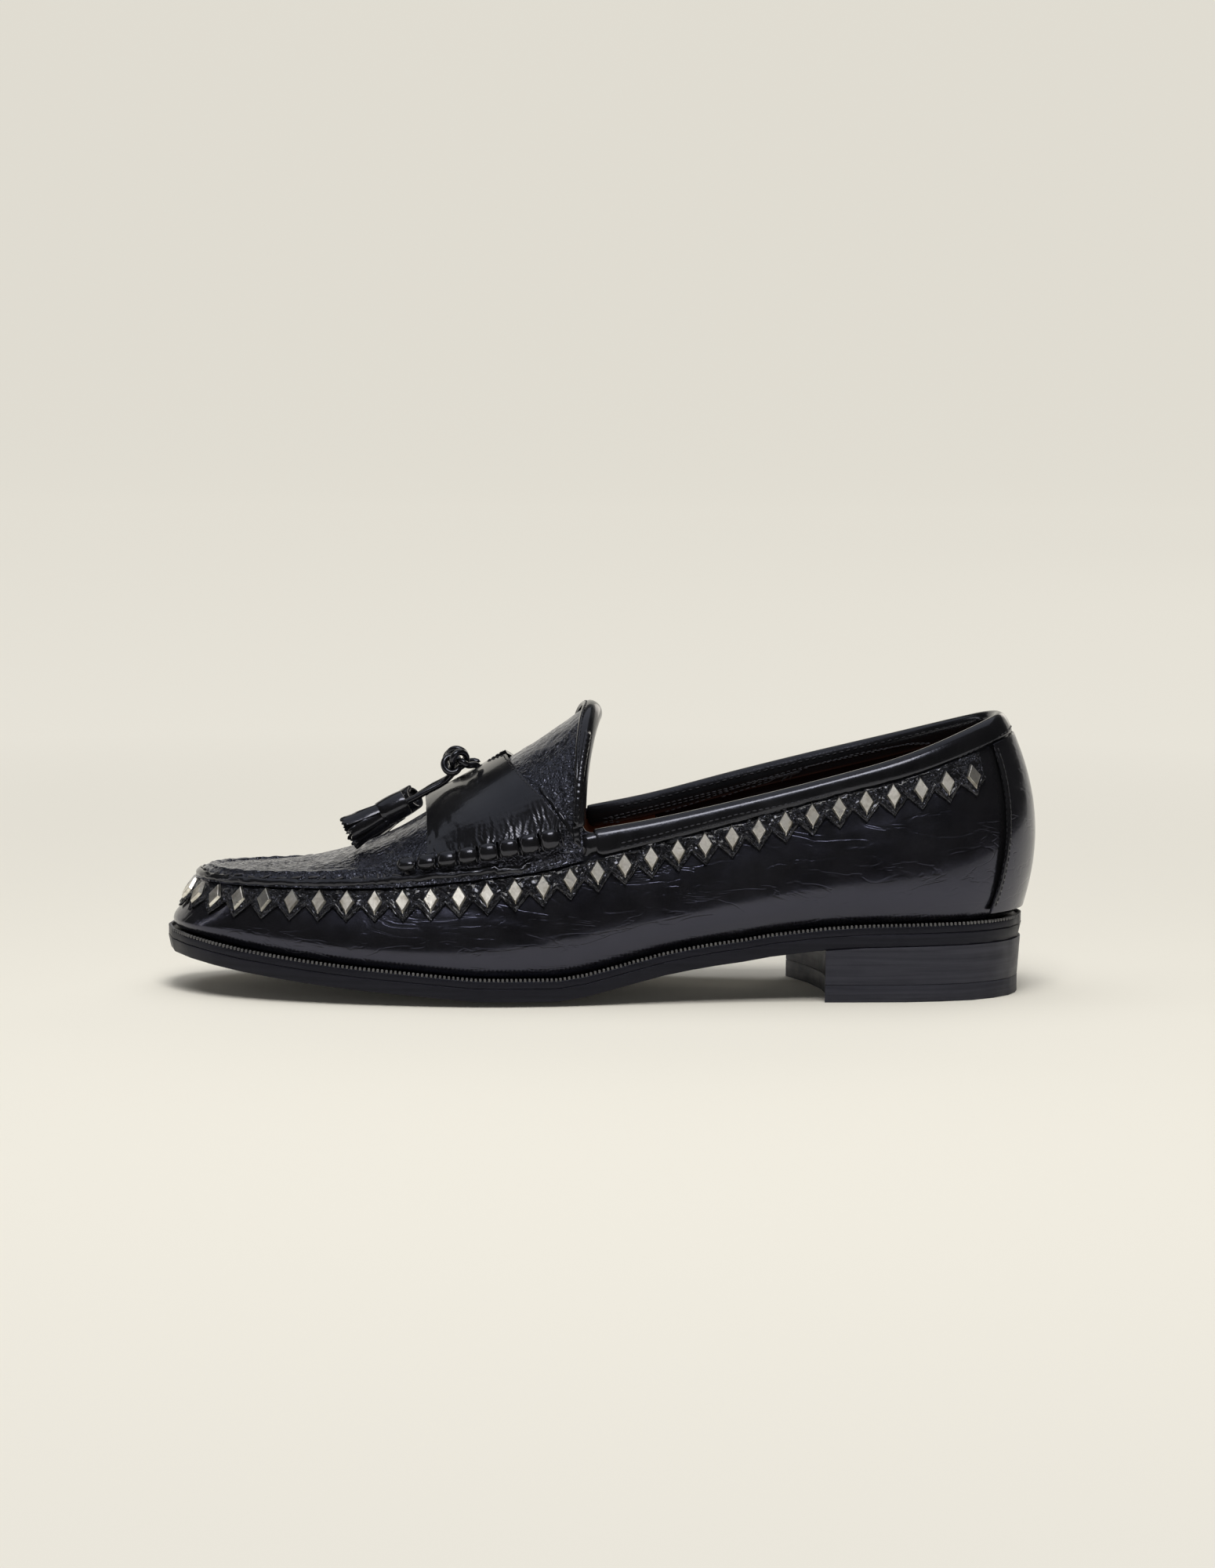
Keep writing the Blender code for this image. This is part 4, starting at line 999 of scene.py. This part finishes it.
def makeCap(side):
    axis, across, over = tasselAxes(side)
    cap = startShape(bpy.ops.mesh.primitive_grid_add, x_subdivisions=48, y_subdivisions=6, size=2.0)
    for vertex in cap.data.vertices:
        share, run = (vertex.co.x + 1) / 2, (vertex.co.y + 1) / 2
        turn = capLook["seam"] + share * capLook["turns"] * 2 * math.pi
        under = capLook["thick"] * max(0.0, 1 - share * capLook["turns"] / 0.9) ** 0.5
        radius = capLook["radius"] - under + capLook["swell"] * (math.sin(math.pi * run) - 0.6)
        vertex.co = (
            tassels[side]["cap"] + axis * run * capLook["length"]
            + (across * math.cos(turn) + over * math.sin(turn)) * radius
        )
    faceOut(cap)
    applyModifier(cap, "SOLIDIFY", thickness=capLook["thick"], offset=-1.0)
    softEdges(cap, capLook["edge"], 2, 50.0)
    core = startShape(
        bpy.ops.mesh.primitive_cylinder_add, vertices=24, radius=capLook["core"],
        depth=capLook["length"] - 2 * capLook["coreDepth"],
        location=tassels[side]["cap"] + axis * capLook["length"] / 2,
        rotation=axis.to_track_quat("Z", "Y").to_euler(),
    )
    bpy.ops.object.transform_apply(location=True, rotation=True, scale=True)
    joinPieces(f"tasselCap_{side}", [cap, core])
    smoothBelow(cap)
    return finishPiece(cap, f"tassel_cap_{side}", "upper_leather", smoothLeather)


def makeStrip(side, turn, lift):
    axis, across, over = tasselAxes(side)
    strip = startShape(bpy.ops.mesh.primitive_grid_add, x_subdivisions=8, y_subdivisions=10, size=2.0)
    start = tassels[side]["cap"] + axis * (capLook["length"] - fringeLook["tuck"])
    ragged = [chance.uniform(-1, 1) for tooth in range(9)]
    twist = chance.uniform(-0.12, 0.12)
    stretch = chance.uniform(0.92, 1.05)
    for vertex in strip.data.vertices:
        aside, run = vertex.co.x, (vertex.co.y + 1) / 2
        radius = fringeLook["startRadius"] + lift
        radius += (fringeLook["endRadius"] - fringeLook["startRadius"]) * run ** 1.3
        angle = turn + twist * run + aside * fringeLook["width"] / 2 / radius
        reach = run * fringeLook["length"] * stretch
        if run > 0.99:
            reach += fringeLook["ragged"] * ragged[round((aside + 1) * 4)]
        radius += fringeLook["ripple"] * math.sin(7 * run + 3 * turn)
        outward = across * math.cos(angle) + over * math.sin(angle)
        vertex.co = start + axis * reach + outward * radius
    faceOut(strip)
    applyModifier(strip, "SOLIDIFY", thickness=fringeLook["thick"], offset=0.0)
    softEdges(strip, fringeLook["edge"], 1, 50.0)
    return strip


def makeFringe(side):
    strips = []
    for k in range(fringeLook["strips"]):
        turn = 2 * math.pi * k / fringeLook["strips"] + chance.uniform(-0.1, 0.1)
        strips.append(makeStrip(side, turn, (k % 2) * fringeLook["overlap"]))
    fringe = joinPieces(f"tasselFringe_{side}", strips)
    smoothBelow(fringe)
    return finishPiece(fringe, f"tassel_fringe_{side}", "upper_leather", smoothLeather)


def makeTassel(side):
    cord, length = cords[side]
    finishPiece(cord, f"tassel_cord_{side}", "upper_leather", smoothLeather)
    cap = makeCap(side)
    fringe = makeFringe(side)


for side in tassels:
    makeTassel(side)
print("tassels made")


# Stitches: a ray sweeps over a piece until it meets its edge, and the row lies a little inside that edge

stitchLook = {
    # spacing, then length, width and height of one stitch, then how far inside the edge
    "collar": {
        "pitch": 1.95 * mm, "size": (1.5 * mm, 0.45 * mm, 0.4 * mm), "insets": (0.9 * mm, 2.35 * mm),
    },
    "rim": {"pitch": 2.2 * mm, "size": (1.5 * mm, 0.4 * mm, 0.4 * mm), "inset": 2.0 * mm},
    "saddle": {"pitch": 1.8 * mm, "size": (1.35 * mm, 0.4 * mm, 0.35 * mm), "inset": 1.3 * mm},
    "tongue": {"pitch": 1.9 * mm, "size": (1.45 * mm, 0.42 * mm, 0.4 * mm), "inset": 0.8 * mm},
    "counter": {"pitch": 1.8 * mm, "size": (1.35 * mm, 0.4 * mm, 0.35 * mm)},
}


def makeStitchShape(length, width, height):
    stitch = startShape(bpy.ops.mesh.primitive_uv_sphere_add, segments=8, ring_count=6, radius=0.5)
    editAll(stitch)
    bpy.ops.transform.rotate(value=math.radians(90), orient_axis="Y", center_override=(0, 0, 0))
    bpy.ops.transform.resize(value=(length, width, height), center_override=(0, 0, 0))
    objectMode()
    bpy.ops.object.shade_smooth()
    return stitch


def sweepEdge(surface, sweeps, inset, steps=240):
    line = []
    for start, stop, aim in sweeps:
        step = (stop - start) / steps
        for k in range(steps + 1):
            origin = start + step * k
            if surface.ray_cast(origin, aim)[0] is None:
                continue
            spot = surface.ray_cast(origin + step.normalized() * inset, aim)[0]
            if spot is not None:
                line.append(spot)
            break
    return line


def stitchRow(name, line, surface, look, finish=thread):
    places = []
    lift = 0.5 - look.get("sink", 0.3)
    for point, along in walk(line, look["pitch"]):
        spot, normal = surface.find_nearest(point)[:2]
        places.append(seat(spot + normal * look["size"][2] * lift, along, normal))
    return trim(scatter(name, makeStitchShape(*look["size"]), places), finish)


def span(first, last, count):
    return [first + (last - first) * k / (count - 1) for k in range(count)]


def at(x, y, z):
    return Vector((x, y, z)) * mm


down = Vector((0, 0, -1))
collarSurface = surfaceOf(panels["collar_binding"])
collarCentre = at(61, 0, 0)
collarSweeps = []
for degrees in span(-149, 149, 150):
    foot = collarCentre + bearing(degrees) * 160 * mm
    collarSweeps.append((foot + at(0, 0, 38), foot + at(0, 0, 95), -bearing(degrees)))
for number, inset in enumerate(stitchLook["collar"]["insets"]):
    line = sweepEdge(collarSurface, collarSweeps, inset)
    stitchRow(f"collarStitches_{number}", line, collarSurface, stitchLook["collar"])

for name, away in (("far", 1), ("near", -1)):
    sweeps = [(at(x, 0, 100), at(x, 0, 45), Vector((0, away, 0))) for x in span(6, 117, 90)]
    line = sweepEdge(collarSurface, sweeps, stitchLook["rim"]["inset"])
    stitchRow(f"rimStitches_{name}", line, collarSurface, stitchLook["rim"])

saddleSurface = surfaceOf(panels["saddle"])
saddleSweeps = [(at(5, y, 120), at(-45, y, 120), down) for y in span(-33, 33, 120)]
line = sweepEdge(saddleSurface, saddleSweeps, stitchLook["saddle"]["inset"])
stitchRow("saddleStitches", line, saddleSurface, stitchLook["saddle"])

tongueSurface = surfaceOf(panels["tongue_binding"])
tongueSweeps = [(at(-30, y, 120), at(6, y, 120), down) for y in span(-34, 34, 120)]
line = sweepEdge(tongueSurface, tongueSweeps, stitchLook["tongue"]["inset"])
stitchRow("tongueStitches", line, tongueSurface, stitchLook["tongue"])
print("stitch rows made")


# Heel counter's seam: a raised strip with a row of stitches on each edge

seamLook = {"width": 2.4 * mm, "rise": 0.5 * mm, "inset": 0.9 * mm, "rowAt": 0.7 * mm}
ribbonLook = {"rows": 8, "sink": 0.12 * mm, "taper": 7}
heelSurface = surfaceOf(upperWall, panels["heel_counter"])
counterSurface = surfaceOf(panels["heel_counter"])


def makeRibbon(name, line, surface, width, rise, finish=smoothLeather, pucker=0.0, pitch=1.0):
    # a low strip of leather on a surface, thinning out at both ends
    last = len(line) - 1
    ribbon = startShape(
        bpy.ops.mesh.primitive_grid_add, x_subdivisions=last, y_subdivisions=ribbonLook["rows"], size=2.0,
    )
    ribbon.name = name
    for vertex in ribbon.data.vertices:
        i = round((vertex.co.x + 1) / 2 * last)
        aside = vertex.co.y
        ahead = line[min(i + 1, last)] - line[max(i - 1, 0)]
        across = surface.find_nearest(line[i])[1].cross(ahead).normalized()
        spot, lean = surface.find_nearest(line[i] + across * aside * width / 2)[:2]
        swell = 1 + pucker * math.cos(2 * math.pi * i / pitch)
        swell *= min(1.0, (1 + 2 * min(i, last - i)) / ribbonLook["taper"])
        vertex.co = spot + lean * (rise * swell * (1 - aside ** 4) - ribbonLook["sink"])
    faceOut(ribbon)
    bpy.ops.object.shade_smooth()
    return trim(ribbon, finish)


for name, away in ways.items():
    sweeps = [
        (at(95, 80 * away, z), at(136, 80 * away, z), Vector((0, -away, 0))) for z in span(28, 76, 40)
    ]
    line = sweepEdge(counterSurface, sweeps, seamLook["inset"])
    seam = makeRibbon(f"counterSeam_{name}", line, heelSurface, seamLook["width"], seamLook["rise"])
    seamSurface = surfaceOf(seam)
    for number, shift in enumerate((-seamLook["rowAt"], seamLook["rowAt"])):
        row = [point + Vector((shift, 0, 0)) for point in line]
        stitchRow(f"counterStitches_{name}_{number}", row, seamSurface, stitchLook["counter"])
print("heel seam made")


# Throat corners: the collar's edge runs on to a small knotted tie beside the tongue

throatLook = {
    # x, z of both ends of the collar's edge here, and of the tie
    "nose": ((2.0, 50.2), (-7.4, 47.6)), "points": 16, "width": 6.8 * mm, "rise": 1.5 * mm,
    "tieAt": (-7.0, 46.4), "tie": (2.5 * mm, 2.5 * mm, 1.7 * mm), "tieLift": 0.3,
    "castFrom": 90,
}
# x, z of the strap's back edge and of the roll along the tongue's edge
ridgeLook = {
    "strapEdge": {
        "route": [(-20.0, 65.0), (-16.2, 60.3), (-12.0, 54.5), (-7.4, 47.4)],
        "width": 1.5 * mm, "rise": 0.45 * mm, "pucker": 0.0,
    },
    "roll": {
        "route": [(-4.9, 81.5), (-5.7, 78.0), (-7.2, 71.0), (-8.7, 61.0), (-9.2, 54.0), (-8.4, 48.5)],
        "width": 2.6 * mm, "rise": 0.75 * mm, "pucker": 0.2,
    },
}
tongueSeamLook = {"inset": 0.25 * mm, "pitch": 1.0 * mm, "width": 1.6 * mm, "rise": 0.45 * mm}


def beside(x, z, away):
    return at(x, throatLook["castFrom"] * away, z)


def castIn(surface, starts, away):
    hits = [surface.ray_cast(start, Vector((0, -away, 0)))[0] for start in starts]
    return [spot for spot in hits if spot]


def makeThroat(name, away):
    (x0, z0), (x1, z1) = throatLook["nose"]
    count = throatLook["points"]
    starts = [beside(x, z, away) for x, z in zip(span(x0, x1, count), span(z0, z1, count))]
    line = castIn(upperSurface, starts, away)
    nose = makeRibbon(f"collarNose_{name}", line, upperSurface, throatLook["width"], throatLook["rise"])
    instep = surfaceOf(panels["saddle"], panels["apron"], panels["tongue_binding"], upperWall)
    for key, look in ridgeLook.items():
        starts = smoothLine([beside(x, z, away) for x, z in look["route"]], 12)
        line = evenLine(castIn(instep, starts, away), 0.7 * mm)
        makeRibbon(
            f"{key}_{name}", line, instep, look["width"], look["rise"], pucker=look["pucker"], pitch=3.0,
        )
    corner = surfaceOf(nose, upperWall, panels["saddle"])
    spot, normal = corner.ray_cast(beside(*throatLook["tieAt"], away), Vector((0, -away, 0)))[:2]
    place = seat(spot + normal * throatLook["tieLift"] * mm, Vector((1, 0, 0)), normal)
    trim(scatter(f"throatTie_{name}", makeStitchShape(*throatLook["tie"]), [place]), waxedThread)


for name, away in ways.items():
    makeThroat(name, away)

line = evenLine(sweepEdge(tongueSurface, tongueSweeps, tongueSeamLook["inset"]), tongueSeamLook["pitch"])
tongueFace = surfaceOf(panels["apron"], panels["tongue_binding"])
makeRibbon("tongueSeam", line, tongueFace, tongueSeamLook["width"], tongueSeamLook["rise"])
print("throat made")


# Apron seam: long hand stitches lying in the groove between its two ridges

handLook = {"pitch": 5.7 * mm, "size": (3.6 * mm, 0.95 * mm, 0.8 * mm), "sink": 0.2,
            "from": 1.0 * mm, "to": 4.5 * mm}
lipLook = {"inset": 1.1 * mm, "pitch": 1.2 * mm, "width": 2.5 * mm, "rise": 0.9 * mm}
puckerLook = {"inset": 5.4 * mm, "perStitch": 8, "width": 2.6 * mm, "rise": 0.5 * mm, "pucker": 0.22}
apronSurface = surfaceOf(panels["apron"])


def grooveLine():
    line = []
    hub = at(-62, 0, 0)
    for degrees in span(84, 276, 220):
        inward = -bearing(degrees)
        outside = hub - inward * 90 * mm + at(0, 0, 120)
        edge = None
        lowest = None
        for k in range(460):
            origin = outside + inward * k * 0.2 * mm
            spot = apronSurface.ray_cast(origin, down)[0]
            if spot is None:
                continue
            edge = k if edge is None else edge
            reach = (k - edge) * 0.2 * mm
            if reach < handLook["from"]:
                continue
            if reach > handLook["to"]:
                break
            height = upperSurface.find_nearest(spot)[3]
            if lowest is None or height < lowest[0]:
                lowest = (height, spot)
        if lowest:
            line.append(lowest[1])
    return line


def apronEdge(inset, first, last):
    hub = at(-62, 0, 120)
    sweeps = [(hub + bearing(degrees) * 90 * mm, hub, down) for degrees in span(first, last, 260)]
    return sweepEdge(apronSurface, sweeps, inset, 450)


line = evenLine(apronEdge(lipLook["inset"], 42, 318), lipLook["pitch"])
groove = grooveLine()
makeRibbon("apronLip", line, apronSurface, lipLook["width"], lipLook["rise"])
line = evenLine(apronEdge(puckerLook["inset"], 62, 298), handLook["pitch"] / puckerLook["perStitch"])
makeRibbon(
    "apronRidge", line, apronSurface, puckerLook["width"], puckerLook["rise"], grainedLeather,
    pucker=puckerLook["pucker"], pitch=puckerLook["perStitch"],
)
stitchRow("handStitches", groove, apronSurface, handLook, waxedThread)
print("hand stitches made")


# Welt wheeling: a row of small teeth along its top edge, with a lighter base colour as a painted highlight

weltLook = {"pitch": 1.35 * mm, "size": (0.75 * mm, 0.9 * mm, 1.0 * mm), "inset": 0.4 * mm,
            "lift": 0.35 * mm, "edge": 0.22 * mm, "middleHalf": 80 * mm}


def topEdge(cage):
    mesh = cage.data
    tops = {polygon.index for polygon in mesh.polygons if polygon.normal.z > 0.75}
    owners = {}
    for polygon in mesh.polygons:
        for key in polygon.edge_keys:
            owners.setdefault(key, []).append(polygon.index)
    links = {}
    for (a, b), faces in owners.items():
        sides = [face for face in faces if face not in tops]
        if len(faces) != 2 or len(sides) != 1:
            continue
        middle = (mesh.vertices[a].co + mesh.vertices[b].co) / 2
        if mesh.polygons[sides[0]].normal.dot(fromMiddle(middle, weltLook["middleHalf"])) > 0:
            links.setdefault(a, []).append(b)
            links.setdefault(b, []).append(a)
    first = next(iter(links))
    chain = [first, links[first][0]]
    while chain[-1] != first:
        onward = [index for index in links[chain[-1]] if index != chain[-2]]
        if not onward:
            break
        chain.append(onward[0])
    return [mesh.vertices[index].co.copy() for index in chain]


def makeWheeling():
    cage = copyNode("welt", "weltCage")
    edge = topEdge(cage)
    bpy.data.objects.remove(cage)
    tooth = startShape(bpy.ops.mesh.primitive_cube_add, size=1.0)
    editAll(tooth)
    bpy.ops.transform.resize(value=weltLook["size"], center_override=(0, 0, 0))
    objectMode()
    softEdges(tooth, weltLook["edge"], 2, 40.0)
    bpy.ops.object.shade_smooth()
    places = []
    for point, along in walk(edge, weltLook["pitch"]):
        outward = along.cross(Vector((0, 0, 1)))
        if outward.dot(fromMiddle(point, weltLook["middleHalf"])) < 0:
            outward = -outward
        spot = point - outward.normalized() * weltLook["inset"] + Vector((0, 0, weltLook["lift"]))
        places.append(seat(spot, along, Vector((0, 0, 1))))
    teeth = scatter("weltWheeling", tooth, places)
    return finishPiece(teeth, None, "sole_leather", teethPaintedGlint)


wheeling = makeWheeling()
print("wheeling", len(wheeling.data.polygons))


# Floor, backdrop and light

stageLook = {"front": -0.95, "back": 2.6, "half": 3.2, "wall": 1.6, "bend": 0.5,
             "near": (0.80, 0.770, 0.690), "far": (0.12, 0.1155, 0.1035), "glow": (0.80, 0.770, 0.690),
             "glowNear": 0.02, "glowFar": 0.86, "nearReach": 0.20, "farReach": 0.75}


def makeFloor():
    floor = startShape(bpy.ops.mesh.primitive_plane_add, size=2.0)
    floor.name = "studioFloor"
    editAll(floor)
    depth = (stageLook["back"] - stageLook["front"]) / 2
    bpy.ops.transform.resize(value=(stageLook["half"], depth, 1.0))
    bpy.ops.transform.translate(value=(0, stageLook["front"] + depth, -0.05 * mm))
    objectMode()
    for polygon in floor.data.polygons:
        polygon.select = False
    for vertex in floor.data.vertices:
        vertex.select = vertex.co.y > 0
    for edge in floor.data.edges:
        edge.select = all(floor.data.vertices[i].select for i in edge.vertices)
    bpy.ops.object.mode_set(mode="EDIT")
    bpy.ops.mesh.select_mode(type="EDGE")
    bpy.ops.mesh.extrude_region_move(TRANSFORM_OT_translate={"value": (0, 0, stageLook["wall"])})
    objectMode()
    softEdges(floor, stageLook["bend"], 12, 40.0)
    makeActive(floor)
    bpy.ops.object.shade_smooth()
    material, tree, shader, place = newMaterial("studioPaper")
    setInputs(shader, {
        "Roughness": 0.9, "Specular IOR Level": 0.1, "Emission Color": (*stageLook["glow"], 1.0),
    })
    # the paper lights up away from the shoe, where the softbox falls off
    far = addNode(tree, "ShaderNodeVectorMath", operation="LENGTH")
    tree.links.new(place, far.inputs[0])
    reach = (stageLook["nearReach"], stageLook["farReach"])
    glow = spread(tree, far.outputs["Value"], stageLook["glowNear"], stageLook["glowFar"], *reach)
    tree.links.new(glow, shader.inputs["Emission Strength"])
    away = spread(tree, far.outputs["Value"], 0.0, 1.0, *reach)
    paper = ramp(tree, away, [(0.0, stageLook["near"]), (1.0, stageLook["far"])])
    tree.links.new(paper, shader.inputs["Base Color"])
    floor.data.materials.append(material)


lights = [
    # name, place, aim, width, height, watts, colour, seen in reflections
    ("overheadSoftbox", (-0.05, 0.15, 1.7), (-0.05, 0.05, 0.0), 2.6, 2.2, 12.0, (1.0, 0.99, 0.97), False),
    ("shadowKey", (0.0, -0.5, 1.7), (0, 0, 0.0), 0.5, 0.5, 10.5, (1.0, 0.99, 0.97), False),
    ("frontFill", (0.0, -1.8, 0.55), (0, 0, 0.0), 2.0, 0.6, 2.0, (1.0, 0.99, 0.97), False),
    ("sheenSoftbox", (-0.1, 0.3, 1.6), (0, 0.1, 0.0), 2.4, 1.8, 6.0, (0.88, 0.92, 1.0), True),
    ("frontKey", (0.05, -1.15, 1.65), (0, 0, 0.05), 0.9, 0.45, 13.0, (1.0, 0.99, 0.97), True),
    ("toeStrip", (-1.4, -0.1, 0.5), (-0.1, 0, 0.03), 0.12, 1.0, 0.9, (1.0, 0.98, 0.96), True),
    ("heelRim", (0.75, 1.5, 0.5), (0.12, 0, 0.05), 0.5, 0.6, 1.1, (1.0, 0.93, 0.84), True),
]


def makeLight(name, place, aim, width, height, watts, colour, mirrored):
    lamp = startShape(bpy.ops.object.light_add, type="AREA", location=place)
    lamp.name = name
    lamp.rotation_euler = (Vector(aim) - Vector(place)).to_track_quat("-Z", "Y").to_euler()
    lamp.visible_glossy = mirrored
    lamp.data.shape = "RECTANGLE"
    lamp.data.size = width
    lamp.data.size_y = height
    lamp.data.energy = watts
    lamp.data.color = colour


def makeWorld():
    world = bpy.data.worlds.new("studio")
    world.use_nodes = True
    world.node_tree.nodes["Background"].inputs["Color"].default_value = (0.02, 0.02, 0.02, 1.0)
    bpy.context.scene.world = world
    bpy.context.scene.view_settings.view_transform = "Standard"


makeFloor()
for light in lights:
    makeLight(*light)
makeWorld()
print("stage lit")
